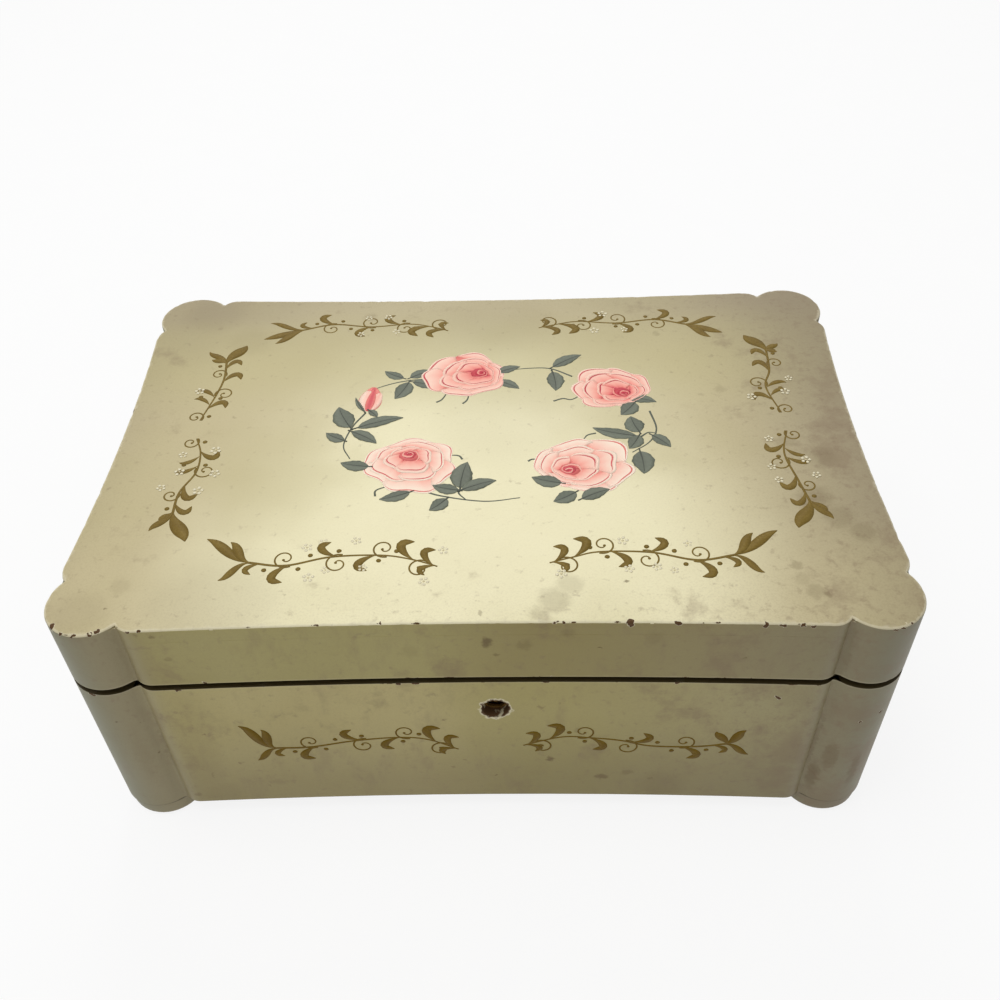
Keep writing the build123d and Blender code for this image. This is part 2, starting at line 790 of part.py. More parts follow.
bridge_bottom = crown_top + crown_tooth_height + bridge_gap
bridge_top = bridge_bottom + bridge_height
key_top = board_bottom_z - piece_gap
key_bottom = key_floor_gap
wing_top = key_bottom + key_wing_height
stem_bottom = key_bottom + key_wing_height / 2
arbor_shoulder = board_bottom_z + arbor_shoulder_lift
arbor_top = crown_top + piece_gap
winding_arbor = upright_rod(barrel_x, barrel_y, (arbor_shoulder, arbor_top), arbor_radius)
socket_bottom = stem_bottom + key_socket_floor
winding_arbor += upright_rod(barrel_x, barrel_y, (socket_bottom, arbor_shoulder), arbor_foot_radius)
winding_arbor += upright_rod(barrel_x, barrel_y, (arbor_top, bridge_top), arbor_pivot_radius)

wing_half = key_wing_width / 2
wing_face = Rectangle(key_wing_width, key_wing_height)
wing_face = fillet(wing_face.vertices(), key_corner_radius)
for side in (-1, 1):
    wing_face -= Pos(side * (wing_half - key_wing_height / 2), 0) * Circle(key_hole_radius)
wing_plane = Plane(origin=(barrel_x, barrel_y, (key_bottom + wing_top) / 2), x_dir=(1, 0, 0), z_dir=(0, -1, 0))
winding_key = wing_plane * extrude(wing_face, key_wing_thickness / 2, both=True)
winding_key += upright_rod(barrel_x, barrel_y, (stem_bottom, key_top), key_stem_radius)
winding_key -= upright_rod(barrel_x, barrel_y, (socket_bottom, key_top), arbor_foot_radius)

bottom_board -= upright_rod(barrel_x, barrel_y, (board_bottom_z, board_top_z), key_slot_radius)


# Bridge over the barrel, with the left bearing of the cylinder

lug_right = barrel_u + bracket_half_width + bracket_sheet
bridge_u = (barrel_u - bracket_half_width, lug_right)
bridge_v_reach = bridge_pillar_reach + bridge_pillar_radius
bridge_y = (my(axle_v) - bridge_v_reach, my(axle_v) + bridge_v_reach)
barrel_bridge = block((mx(bridge_u[0]), mx(bridge_u[1])), bridge_y, (bridge_bottom, bridge_top))
lug_u = (lug_right - bracket_sheet, lug_right)
lug_top = cylinder_z + lug_height
lug_y = (my(axle_v) - bracket_half_width, my(axle_v) + bracket_half_width)
barrel_bridge += block((mx(lug_u[0]), mx(lug_u[1])), lug_y, (bridge_bottom, lug_top))
for side in (-1, 1):
    pillar_y = my(axle_v) + side * bridge_pillar_reach
    barrel_bridge += upright_rod(barrel_x, pillar_y, (bed_top, bridge_bottom), bridge_pillar_radius)
shaft_bore = cylinder_shaft_radius + running_clearance
barrel_bridge -= cross_rod((mx(lug_u[0]), mx(lug_u[1])), my(axle_v), cylinder_z, shaft_bore)
barrel_bridge -= upright_rod(barrel_x, barrel_y, (bridge_bottom, bridge_top), arbor_pivot_radius + running_clearance)


# Cylinder with its pins and pinion, and the wheel on its other end

cylinder_end = cylinder_start + cylinder_length
music_cylinder = cross_rod((mx(cylinder_start), mx(cylinder_end)), my(axle_v), cylinder_z, cylinder_radius)
music_cylinder += cross_rod((mx(lug_u[0]), mx(post_end)), my(axle_v), cylinder_z, cylinder_shaft_radius)
pinion_module = 2 * pinion_pitch_radius / pinion_teeth
pinion_turn = -90 + 180 / pinion_teeth
pinion_face = toothed_disc(pinion_teeth, pinion_module, tooth_share, pinion_turn)
pinion_width = crown_face - 2 * running_clearance
pinion = axle_plane(pinion_u - pinion_width / 2, axle_v, cylinder_z) * extrude(pinion_face, pinion_width)
music_cylinder += pinion
tune_pins = []
for track in range(tine_count):
    pin_u = comb_left + (track + 0.5) * tine_pitch
    for beat in range(pins_per_track):
        angle = (track * pins_per_track + beat) * tune_turn
        pin = upright_rod(0, 0, (0, cylinder_radius + pin_height), pin_radius)
        tune_pins.append(Pos(mx(pin_u), my(axle_v), cylinder_z) * Rot(angle, 0, 0) * pin)
music_cylinder += tune_pins

mesh_angle = -third_drop_angle
wheel_face_plan = toothed_disc(wheel_teeth, wheel_module, tooth_share, mesh_angle)
wheel_face_plan -= Circle(cylinder_shaft_radius)
cylinder_wheel = axle_plane(wheel_start, axle_v, cylinder_z) * extrude(wheel_face_plan, wheel_face)


# Third wheel: a pinion driven by the cylinder wheel and a wheel that turns the governor

third_pinion_turn = mesh_angle + 180 + 180 / third_pinion_teeth
third_pinion = toothed_disc(third_pinion_teeth, wheel_module, tooth_share, third_pinion_turn)
third_disc = toothed_disc(third_wheel_teeth, wheel_module, tooth_share, 0)
third_wheel = axle_plane(wheel_start, third_v, third_z) * extrude(third_pinion, wheel_face)
third_wheel += axle_plane(third_wheel_start, third_v, third_z) * extrude(third_disc, third_wheel_face)
third_left = wheel_start - wheel_gap - bracket_sheet
third_wheel += cross_rod((mx(third_left), mx(post_end)), my(third_v), third_z, third_shaft_radius)


# Bracket with the right bearing of the cylinder and both bearings of the third wheel

third_half = third_shaft_radius + running_clearance + bracket_sheet
post_x = (mx(post_start), mx(post_end))
third_y = (my(third_v) - third_half, my(third_v) + third_half)
third_post_top = third_z + third_half
web_top = bed_top + bracket_half_width * 2
wheel_bracket = block(post_x, lug_y, (bed_top, lug_top))
wheel_bracket += block(post_x, third_y, (bed_top, third_post_top))
wheel_bracket += block(post_x, (my(axle_v), my(third_v)), (bed_top, web_top))
wheel_bracket += block((mx(third_left), mx(third_left) + bracket_sheet), third_y, (bed_top, third_post_top))
wheel_bracket += block((mx(third_left), mx(post_end)), third_y, (bed_top, bed_top + bracket_sheet))
wheel_bracket -= cross_rod(post_x, my(axle_v), cylinder_z, shaft_bore)
third_bore = third_shaft_radius + running_clearance
wheel_bracket -= cross_rod((mx(third_left), mx(post_end)), my(third_v), third_z, third_bore)


# Governor: an upright worm with a disc and two vanes that beat the air

governor_x = mx(governor_u)
governor_y = my(governor_v)
arm_bottom = vane_top + vane_gap
arm_top = arm_bottom + bracket_sheet
worm_length = worm_turns * worm_lead
worm_bottom = third_z - worm_length / 2
governor_fly = upright_rod(governor_x, governor_y, (bed_z[0] + piece_gap, arm_top), governor_shaft_radius)
governor_fly += upright_rod(governor_x, governor_y, (worm_bottom, worm_bottom + worm_length), worm_core_radius)
thread_root = worm_core_radius - worm_thread_sink
thread_path = Helix(pitch=worm_lead, height=worm_length - worm_lead, radius=worm_pitch_radius)
thread_depth = worm_outer_radius - thread_root
thread_plane = Plane(origin=thread_path @ 0, x_dir=(1, 0, 0), z_dir=thread_path % 0)
thread_shift = (worm_outer_radius + thread_root) / 2 - worm_pitch_radius
thread_section = thread_plane * Pos(thread_shift, 0) * Rectangle(thread_depth, worm_thread_width)
worm_thread = sweep(thread_section, path=thread_path, is_frenet=True)
thread_start_z = third_z - worm_lead * round(worm_turns / 2) + worm_lead / 2
governor_fly += Pos(governor_x, governor_y, thread_start_z) * Rot(0, 0, -90) * worm_thread
governor_fly += upright_rod(governor_x, governor_y, (fly_bottom, fly_top), fly_radius)
vane_x = (governor_x - vane_radius, governor_x + vane_radius)
vane_y = (governor_y - vane_thickness / 2, governor_y + vane_thickness / 2)
governor_fly += block(vane_x, vane_y, (fly_top, vane_top))

post_u = governor_u - governor_post_reach
post_half = bracket_sheet
governor_bracket = block((mx(post_u - post_half), mx(post_u + post_half)),
                         (governor_y - post_half, governor_y + post_half), (bed_top, arm_top))
governor_bracket += block((mx(post_u - post_half), governor_x + post_half),
                          (governor_y - post_half, governor_y + post_half), (arm_bottom, arm_top))
governor_bore = governor_shaft_radius + running_clearance
governor_bracket -= upright_rod(governor_x, governor_y, (arm_bottom, arm_top), governor_bore)


# Comb: a steel plate cut into tines, longer towards the bass

def comb_plan():
    """The comb seen from above: a base with a slanted front and a row of separate tines."""
    left = mx(comb_left)
    right = mx(comb_left + comb_width)
    corners = [
        (left, my(comb_back_v)),
        (right, my(comb_back_v)),
        (right, my(comb_base_v + comb_slant)),
        (left, my(comb_base_v)),
    ]
    face = make_face(Polyline(*corners, close=True))
    middle_y = (my(comb_tip_v) + my(comb_base_v) - comb_base_depth / 2) / 2
    tine_length = comb_reach + comb_base_depth / 2
    for index in range(tine_count):
        x = left + (index + 0.5) * tine_pitch
        face += Pos(x, middle_y) * Rectangle(tine_width, tine_length)
    return face


comb = Pos(0, 0, comb_bottom) * extrude(comb_plan(), comb_thickness)
comb_top = comb_bottom + comb_thickness
comb_screw_y = my((comb_back_v + comb_base_v) / 2)
movement_screws = []
for share in comb_screw_shares:
    x = mx(comb_left + comb_width * share)
    head_top = comb_top + comb_screw_head_height
    length = comb_screw_head_height + comb_thickness + comb_base_depth
    movement_screws.append(headed_screw(x, comb_screw_y, head_top, length, comb_screw_radius,
                                        comb_screw_head_radius, comb_screw_head_height, -1))
screw_inset = 2 * movement_screw_head_radius
bed_screw_places = [
    (-bed_left + screw_inset, -bed_front + screw_inset),
    (-bed_left + screw_inset, bed_back - screw_inset),
    (bed_right - screw_inset, -bed_front + screw_inset),
]
for u, v in bed_screw_places:
    length = board_thickness + movement_screw_depth
    movement_screws.append(headed_screw(mx(u), my(v), board_bottom_z, length, movement_screw_radius,
                                        movement_screw_head_radius, movement_screw_head_height, 1))
for screw in movement_screws:
    comb -= screw
    bedplate -= screw
    bottom_board -= screw

bed_space = block((mx(-bed_left) - piece_gap, mx(bed_right) + piece_gap),
                  (my(-bed_front) - piece_gap, my(bed_back) + piece_gap), (board_top_z, floor_z))
floor_lining -= bed_space
guide_space_y = (my(bed_back), my(stop_v) + stop_pin_radius + piece_gap)
floor_lining -= block((guide_x[0] - piece_gap, guide_x[1] + piece_gap), guide_space_y, (board_top_z, floor_z))


# Stop pin: the lid holds it down so that its pad brakes the governor

stop_x = mx(governor_u)
stop_y = my(stop_v)
pad_bottom = fly_top + piece_gap
pad_top = pad_bottom + stop_pad_height
pad_y = governor_y + stop_pad_reach
stop_pin = upright_rod(stop_x, stop_y, (bed_z[0] + piece_gap, parting_z - piece_gap), stop_pin_radius)
arm_x = (stop_x - stop_arm_width / 2, stop_x + stop_arm_width / 2)
stop_pin += block(arm_x, (pad_y - stop_pad_size / 2, stop_y), (pad_top - stop_arm_thickness, pad_top))
stop_pin += block(arm_x, (pad_y - stop_pad_size / 2, pad_y + stop_pad_size / 2), (pad_bottom, pad_top))

stop_tab = block((stop_x - tab_width / 2, stop_x + tab_width / 2),
                 (cavity_y - tab_reach, cavity_y), (parting_z, parting_z + tab_height))

cover_z = (divider_top_z, divider_top_z + cover_thickness)
movement_cover = block((-room_x + piece_gap, movement_divider_x), (long_divider_y, room_y - piece_gap), cover_z)
notch_half = stop_pin_radius + piece_gap
movement_cover -= block((stop_x - notch_half, stop_x + notch_half), (stop_y - notch_half, room_y), cover_z)


# Lid lining and mirror

lining_bottom = ceiling_z - ceiling_lining_thickness
ceiling_lining = block((-cavity_x, cavity_x), (-cavity_y, cavity_y), (lining_bottom, ceiling_z))
mirror_x = (-mirror_width / 2, mirror_width / 2)
mirror_y = (-mirror_depth / 2, mirror_depth / 2)
mirror = block(mirror_x, mirror_y, (ceiling_z - mirror_thickness, ceiling_z))
ceiling_lining -= mirror
opening_x = (mirror_x[0] + mirror_lip, mirror_x[1] - mirror_lip)
opening_y = (mirror_y[0] + mirror_lip, mirror_y[1] - mirror_lip)
ceiling_lining -= block(opening_x, opening_y, (lining_bottom, ceiling_z))
side_lining_z = (parting_z + piece_gap, lining_bottom)
lid_side_lining = block((-cavity_x, cavity_x), (-cavity_y, cavity_y), side_lining_z)
lid_side_lining -= block((-room_x, room_x), (-room_y, room_y), side_lining_z)
lid_side_lining -= stop_tab


# Every piece under the name of its node

pieces = {
    "bottom_board": bottom_board,
    "board_nails": board_nails,
    "floor_lining": floor_lining,
    "wall_lining": wall_lining,
    "long_divider": long_divider,
    "movement_divider": movement_divider,
    "ring_divider": ring_divider,
    "ring_rolls": ring_rolls,
    "movement_cover": movement_cover,
    "lock_case": lock_case,
    "lock_bolt": lock_bolt,
    "link_plate": link_plate,
    "hinge_pins": hinge_pins,
    "case_screws": lock_screws + hinge_case_screws,
    "lid_screws": link_screws + hinge_lid_screws,
    "lid_top_board": lid_top_board,
    "lid_side_lining": lid_side_lining,
    "lid_ceiling_lining": ceiling_lining,
    "mirror": mirror,
    "stop_tab": stop_tab,
    "bedplate": bedplate,
    "spring_barrel": spring_barrel,
    "crown_wheel": crown_wheel,
    "mainspring": mainspring,
    "winding_arbor": winding_arbor,
    "winding_key": winding_key,
    "barrel_bridge": barrel_bridge,
    "music_cylinder": music_cylinder,
    "cylinder_wheel": cylinder_wheel,
    "comb": comb,
    "wheel_bracket": wheel_bracket,
    "third_wheel": third_wheel,
    "governor_fly": governor_fly,
    "governor_bracket": governor_bracket,
    "stop_pin": stop_pin,
    "movement_screws": movement_screws,
}
for name, part in case_parts.items():
    pieces[f"case_{name}_panel"] = part
for name, part in case_posts.items():
    pieces[f"case_post_{name}"] = part
for name, part in lid_parts.items():
    pieces[f"lid_{name}_rail"] = part
for name, part in lid_posts.items():
    pieces[f"lid_post_{name}"] = part
for name, part in feet.items():
    pieces[f"foot_{name}"] = part
for name in case_leaves:
    pieces[f"hinge_case_leaf_{name}"] = case_leaves[name]
    pieces[f"hinge_lid_leaf_{name}"] = lid_leaves[name]


def as_shape(piece):
    """One shape for a piece, or a group of the separate solids of a list."""
    if isinstance(piece, list):
        return Compound([solid for item in piece for solid in item.solids()])
    return piece


for name, piece in pieces.items():
    export_step(as_shape(piece), f"parts/{name}.step")
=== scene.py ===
"""Dresses the musical jewelry box: worn lacquer, painted roses, velvet, satin, brass and steel."""
import logging
import math
import random
from bisect import bisect_right
from collections.abc import Callable, Iterable, Sequence
from dataclasses import dataclass, replace
from enum import Enum
from functools import cache, cached_property, reduce

import bmesh
import bpy
from mathutils import Matrix, Vector, noise
from mathutils.geometry import interpolate_bezier


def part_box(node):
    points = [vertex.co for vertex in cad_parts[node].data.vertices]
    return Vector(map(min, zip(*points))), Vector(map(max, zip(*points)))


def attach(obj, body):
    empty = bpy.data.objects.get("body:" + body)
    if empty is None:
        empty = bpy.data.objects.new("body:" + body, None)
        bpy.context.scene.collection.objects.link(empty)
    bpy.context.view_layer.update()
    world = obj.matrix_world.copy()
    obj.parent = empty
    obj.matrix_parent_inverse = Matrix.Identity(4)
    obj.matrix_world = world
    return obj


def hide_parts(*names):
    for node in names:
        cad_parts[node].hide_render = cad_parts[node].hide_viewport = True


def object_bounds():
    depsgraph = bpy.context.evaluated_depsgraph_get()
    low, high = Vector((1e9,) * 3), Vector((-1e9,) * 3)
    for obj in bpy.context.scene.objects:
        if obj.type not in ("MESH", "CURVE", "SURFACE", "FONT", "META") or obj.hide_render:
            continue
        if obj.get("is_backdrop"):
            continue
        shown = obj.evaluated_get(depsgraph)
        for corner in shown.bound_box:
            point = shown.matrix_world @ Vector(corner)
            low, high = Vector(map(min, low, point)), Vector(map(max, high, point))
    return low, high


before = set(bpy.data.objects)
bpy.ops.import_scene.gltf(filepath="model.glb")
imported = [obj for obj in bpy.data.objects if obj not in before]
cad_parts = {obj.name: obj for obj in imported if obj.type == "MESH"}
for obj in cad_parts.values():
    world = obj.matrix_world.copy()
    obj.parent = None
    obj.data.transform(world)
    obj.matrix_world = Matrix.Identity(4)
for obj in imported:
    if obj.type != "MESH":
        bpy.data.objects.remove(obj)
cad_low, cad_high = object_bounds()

log = logging.getLogger("jewelry_box")

MM = 0.001
TAU = 2 * math.pi
LID_TOP = 103.4
WHITE = (1.0, 1.0, 1.0, 1.0)
Colour = tuple[float, float, float, float]
Pair = tuple[float, float]
Triple = tuple[float, float, float]
Shape = Callable[[float, float], Vector]
Tone = Callable[[float, float], float]
Mesh = bmesh.types.BMesh
Vert = bmesh.types.BMVert
Piece = bpy.types.Object
Material = bpy.types.Material


# Small helpers


def flat(point: Pair) -> Vector:
    """Make a place on the painted face from its two numbers."""
    return Vector((*point, 0.0))


def left_of(heading: Vector) -> Vector:
    """Turn a heading a quarter to the left."""
    return Vector((-heading.y, heading.x, 0.0))


def hump(share: float, power: float = 1.0, skew: float = 1.0) -> float:
    """Rise and fall over a share from 0 to 1; a low power makes it full, a high skew late."""
    return math.sin(math.pi * share**skew) ** power


# Shader language


def srgb(red: int, green: int, blue: int) -> Colour:
    """Turn a colour as a screen shows it into the linear one that shaders take.

    Args:
        red: Red part, 0 to 255.
        green: Green part, 0 to 255.
        blue: Blue part, 0 to 255.

    Returns:
        The linear colour with full alpha.
    """
    parts = []
    for part in (red, green, blue):
        share = part / 255
        parts.append(share / 12.92 if share <= 0.04045 else ((share + 0.055) / 1.055) ** 2.4)
    return (*parts, 1.0)


class Value:
    """One output of a shader tree, with arithmetic that adds Math nodes to that tree."""

    def __init__(self, tree: "ShaderTree", socket: bpy.types.NodeSocket) -> None:
        """Keep the tree and the socket that this value comes from."""
        self.tree = tree
        self.socket = socket

    def math(self, operation: str, first: "Value | float", second: "Value | float") -> "Value":
        """Add one Math node on two values."""
        return self.tree.node("ShaderNodeMath", {"operation": operation}, {0: first, 1: second})

    def __add__(self, other: "Value | float") -> "Value":
        """Add."""
        return self.math("ADD", self, other)

    __radd__ = __add__

    def __mul__(self, other: "Value | float") -> "Value":
        """Multiply."""
        return self.math("MULTIPLY", self, other)

    __rmul__ = __mul__

    def __sub__(self, other: "Value | float") -> "Value":
        """Subtract."""
        return self.math("SUBTRACT", self, other)

    def __rsub__(self, other: "Value | float") -> "Value":
        """Subtract this from a number."""
        return self.math("SUBTRACT", other, self)

    def largest(self, other: "Value | float") -> "Value":
        """Give the larger of two values."""
        return self.math("MAXIMUM", self, other)

    def size(self) -> "Value":
        """Give the value without its sign."""
        return self.tree.node("ShaderNodeMath", {"operation": "ABSOLUTE"}, {0: self})

    def fade(self, start: float, end: float) -> "Value":
        """Rise smoothly from 0 at start to 1 at end; start may be the larger one."""
        low, high = sorted((start, end))
        settings = {"interpolation_type": "SMOOTHSTEP"}
        rising = self.tree.node("ShaderNodeMapRange", settings, {0: self, 1: low, 2: high})
        return rising if start == low else 1 - rising


class ShaderTree:
    """The node tree of one new material."""

    def __init__(self, name: str) -> None:
        """Make an empty material with its Principled shader."""
        self.material = bpy.data.materials.new(name)
        self.material.use_nodes = True
        self.nodes = self.material.node_tree.nodes
        self.links = self.material.node_tree.links
        self.surface = self.nodes["Principled BSDF"]

    @classmethod
    def of_world(cls, world: bpy.types.World) -> "ShaderTree":
        """Work in the node tree of the surroundings instead of in a new material."""
        tree = cls.__new__(cls)
        tree.nodes = world.node_tree.nodes
        tree.links = world.node_tree.links
        return tree

    def connect(self, socket: bpy.types.NodeSocket, value: object) -> None:
        """Link a value to a socket, or set the socket to a plain number, colour or vector."""
        if isinstance(value, Value):
            self.links.new(value.socket, socket)
        elif value is not None:
            socket.default_value = value

    def node(self, kind: str, settings: dict | None = None, inputs: dict | None = None,
             output: int = 0) -> Value:
        """Add one node.

        Args:
            kind: The node's type.
            settings: Its properties, set first; stops are the colours of a ramp.
            inputs: Values or links by socket name or number.
            output: Which output to give back.

        Returns:
            The output as a value.
        """
        made = self.nodes.new(kind)
        for key, value in (settings or {}).items():
            if key == "stops":
                self.fill_ramp(made.color_ramp, value)
            else:
                setattr(made, key, value)
        for key, value in (inputs or {}).items():
            self.connect(made.inputs[key], value)
        return Value(self, made.outputs[output])

    def fill_ramp(self, ramp: bpy.types.ColorRamp, stops: Sequence[tuple[float, Colour]]) -> None:
        """Give a ramp its stops."""
        while len(ramp.elements) < len(stops):
            ramp.elements.new(1.0)
        for element, (position, colour) in zip(ramp.elements, stops):
            element.position = position
            element.color = colour

    def place(self) -> Value:
        """Give Object coordinates."""
        return self.node("ShaderNodeTexCoord", output=3)

    def split(self, vector: Value) -> tuple[Value, Value, Value]:
        """Split a vector into its three parts."""
        parts = self.node("ShaderNodeSeparateXYZ", inputs={0: vector})
        return tuple(Value(self, socket) for socket in parts.socket.node.outputs)

    def vector(self, operation: str, first: object, second: object = None, output: int = 0) -> Value:
        """Add one Vector Math node."""
        return self.node("ShaderNodeVectorMath", {"operation": operation}, {0: first, 1: second}, output)

    def noise(self, vector: Value, scale: float, detail: float, roughness: float) -> Value:
        """Add a noise pattern; scale is in patches a metre."""
        inputs = {"Vector": vector, "Scale": scale, "Detail": detail, "Roughness": roughness}
        return self.node("ShaderNodeTexNoise", inputs=inputs)

    def streaks(self, vector: Value, scales: Triple, detail: float, roughness: float) -> Value:
        """Add a noise pattern with a scale of its own along each axis."""
        return self.noise(self.vector("MULTIPLY", vector, scales), 1, detail, roughness)

    def attribute(self, name: str) -> Value:
        """Read a number that the mesh keeps at its points."""
        return self.node("ShaderNodeAttribute", {"attribute_name": name}, output=2)

    def mix(self, share: "Value | float", low: object, high: object) -> Value:
        """Mix two colours."""
        return self.node("ShaderNodeMix", {"data_type": "RGBA"}, {0: share, 6: low, 7: high}, 2)

    def ramp(self, value: Value, stops: Sequence[tuple[float, Colour]]) -> Value:
        """Turn a number into a colour by stops."""
        return self.node("ShaderNodeValToRGB", {"stops": stops}, {0: value})

    def bump(self, height: Value, distance: float, strength: float) -> Value:
        """Turn a height into a bumped normal; distance is in metres."""
        inputs = {"Height": height, "Distance": distance, "Strength": strength}
        return self.node("ShaderNodeBump", inputs=inputs)

    def finish(self, **sockets: object) -> Material:
        """Set the shader's own sockets, named with underscores, and give back the material."""
        for name, value in sockets.items():
            words = name.replace("_", " ").title().replace("Ior", "IOR")
            self.connect(self.surface.inputs[words], value)
        return self.material


# Finishes


@dataclass(frozen=True)
class Mark:
    """One stain or chip: place and radius in millimetres, strength, stretch along Z and along Y."""

    x: float
    y: float
    z: float
    radius: float
    strength: float = 0.6
    tall: float = 1.0
    deep: float = 1.0


def stains(*rows: Sequence[float]) -> tuple[Mark, ...]:
    """Make stains from rows of a mark's numbers."""
    return tuple(Mark(*row) for row in rows)


def lid_stains(*rows: Sequence[float]) -> tuple[Mark, ...]:
    """Make stains on the lid's top from rows of x, y, radius and strength."""
    return tuple(Mark(x, y, LID_TOP, radius, strength) for x, y, radius, strength in rows)


def chips(*rows: Sequence[float]) -> tuple[Mark, ...]:
    """Make chips from rows of x, y, z and radius, with stretch along Z and along Y where they have it."""
    return tuple(Mark(*row[:4], 1.0, *row[4:]) for row in rows)


class WearMap(Enum):
    """Where a lacquered piece is rubbed and carries its painted edge highlight: by the rim kept in its
    mesh, or by the heights of its edges.
    """

    RIM = "rim"
    HEIGHTS = "heights"


@dataclass(frozen=True)
class Lacquer:
    """Old ivory lacquer: a painted pool of light near the front middle that fades outwards to painted shade
    and partly real aging, painted shade on the corner posts, low on the case and in its grooves, worn edges
    with a painted highlight, chipped and stained.
    """

    name: str
    wear: WearMap
    # The next four colours are painted light and shade, partly also aging: bright round the middle near the
    # front, two darker tones outwards, and one for the right side and the lid's back.
    bright: Colour
    mellow_half_lit: Colour
    dull_and_shaded: Colour
    aged_and_shaded: Colour
    yellowed: Colour
    grime: Colour = srgb(126, 104, 78)
    # Paler paint on rubbed edges: partly real wear, partly a painted highlight.
    rubbed_and_highlit: Colour = srgb(238, 230, 200)
    wood: Colour = srgb(84, 58, 30)
    stain: Colour = srgb(96, 76, 36)
    # Painted shade on the corner posts, which face sideways, darker at their outer edge.
    corner: Colour = srgb(151, 140, 106)
    corner_edge_shade: Colour = srgb(121, 120, 91)
    # Painted shade towards the case's bottom.
    low: Colour = srgb(112, 98, 54)
    # Painted shade in the groove under the lid and along the case's lower edge.
    crevice_shade: Colour = srgb(62, 52, 28)
    edges: tuple[float, ...] = ()
    marks: tuple[Mark, ...] = ()
    bare: tuple[Mark, ...] = ()
    # Centre, stretch and radii of the painted pool of light and its falloff.
    middle: Pair = (-5.0, -62.0)
    weights: Pair = (0.95, 0.75)
    spread: Triple = (0.045, 0.105, 0.155)
    rim_reach: float = 1.3 * MM
    stain_core: float = 0.35
    chip_core: float = 0.88
    chip_ring: float = 1.12
    seam_blur: float = 0.2 * MM
    # Strength of the rubbed paint with its painted highlight.
    rub_and_highlight: float = 0.45
    low_shade: float = 0.0
    # Heights and strengths of painted shade in the groove and at the lower edge.
    shaded_seams: tuple[Triple, ...] = ()

    def rim(self, tree: ShaderTree, height: Value) -> Value:
        """Say how near a rubbed edge each place is, where wear and a painted highlight go; a face that lies
        flat there isn't rubbed.

        Args:
            tree: The lacquer's tree.
            height: The height of each place.

        Returns:
            The nearness, 0 to 1.
        """
        if self.wear is WearMap.RIM:
            return tree.attribute("rim")
        near = [(height - edge).size().fade(self.rim_reach, 0.0) for edge in self.edges]
        rim = reduce(Value.largest, near)
        normal = tree.node("ShaderNodeTexCoord", output=1)
        return rim * tree.split(normal)[2].size().fade(0.8, 0.5)

    def spots(self, tree: ShaderTree, place: Value, marks: Sequence[Mark], core: float) -> Value:
        """Give the strongest of some marks at each place.

        Args:
            tree: The lacquer's tree.
            place: Where on the box.
            marks: The marks.
            core: The share of a mark's radius that is at full strength.

        Returns:
            The strength, 0 to 1.
        """
        found = []
        for mark in marks:
            away = tree.vector("SUBTRACT", place, (mark.x * MM, mark.y * MM, mark.z * MM))
            away = tree.vector("MULTIPLY", away, (1.0, 1.0 / mark.deep, 1.0 / mark.tall))
            far = tree.vector("LENGTH", away, output=1)
            found.append(far.fade(mark.radius * MM, mark.radius * MM * core) * mark.strength)
        return reduce(Value.largest, found)

    def aging_and_shading(self, tree: ShaderTree, place: Value, cloud: Value) -> Value:
        """Mix the paint's colours over the box, with painted light and shade: bright round the middle near
        the front, fading outwards, darker towards the right and the lid's back, on the corner posts and low
        on the case, partly standing for real aging.

        Args:
            tree: The lacquer's tree.
            place: Where on the box.
            cloud: A broad noise that breaks the colours' borders.

        Returns:
            The clean paint's colour, with its painted light and shade.
        """
        x, y, z = tree.split(place)
        # Painted light: the bright colour round the middle near the front fades outwards through the mellow
        # and dull ones, standing for a pool of light falling off into shade, and partly for aging.
        wide, long = self.weights
        across = tree.vector("MULTIPLY", place, (wide, long, 0.0))
        centre = (self.middle[0] * wide * MM, self.middle[1] * long * MM, 0.0)
        from_light_pool = tree.vector("SUBTRACT", across, centre)
        far = tree.vector("LENGTH", from_light_pool, output=1) + (cloud - 0.5) * 0.05
        near, half_way, end = self.spread
        colour = tree.mix(far.fade(near, half_way), self.bright, self.mellow_half_lit)
        colour = tree.mix(far.fade(half_way, end), colour, self.dull_and_shaded)
        band = y.fade(0.0, 0.045) * y.fade(0.085, 0.06)
        colour = tree.mix((cloud.fade(0.42, 0.66) * 0.3).largest(band * 0.5), colour, self.yellowed)
        if self.wear is WearMap.HEIGHTS:
            # Painted shade: darker towards the case's bottom.
            colour = tree.mix(z.fade(0.062, 0.012) * self.low_shade, colour, self.low)
            # Painted shade on the corner posts, which face sideways, darkest at their outer edge.
            colour = tree.mix(x.size().fade(0.099, 0.113), colour, self.corner)
            colour = tree.mix(x.size().fade(0.114, 0.131), colour, self.corner_edge_shade)
        # Painted shade towards the back of the lid, partly aging.
        if self.wear is WearMap.RIM:
            colour = tree.mix(y.fade(0.035, 0.08) * 0.22, colour, self.aged_and_shaded)
        # Painted shade towards the right side, partly aging, halved at the lid's front.
        calm_front = 1 - y.fade(-0.035, -0.07) * (0.5 if self.wear is WearMap.RIM else 0.0)
        return tree.mix(x.fade(0.07, 0.14) * calm_front * 0.75, colour, self.aged_and_shaded)

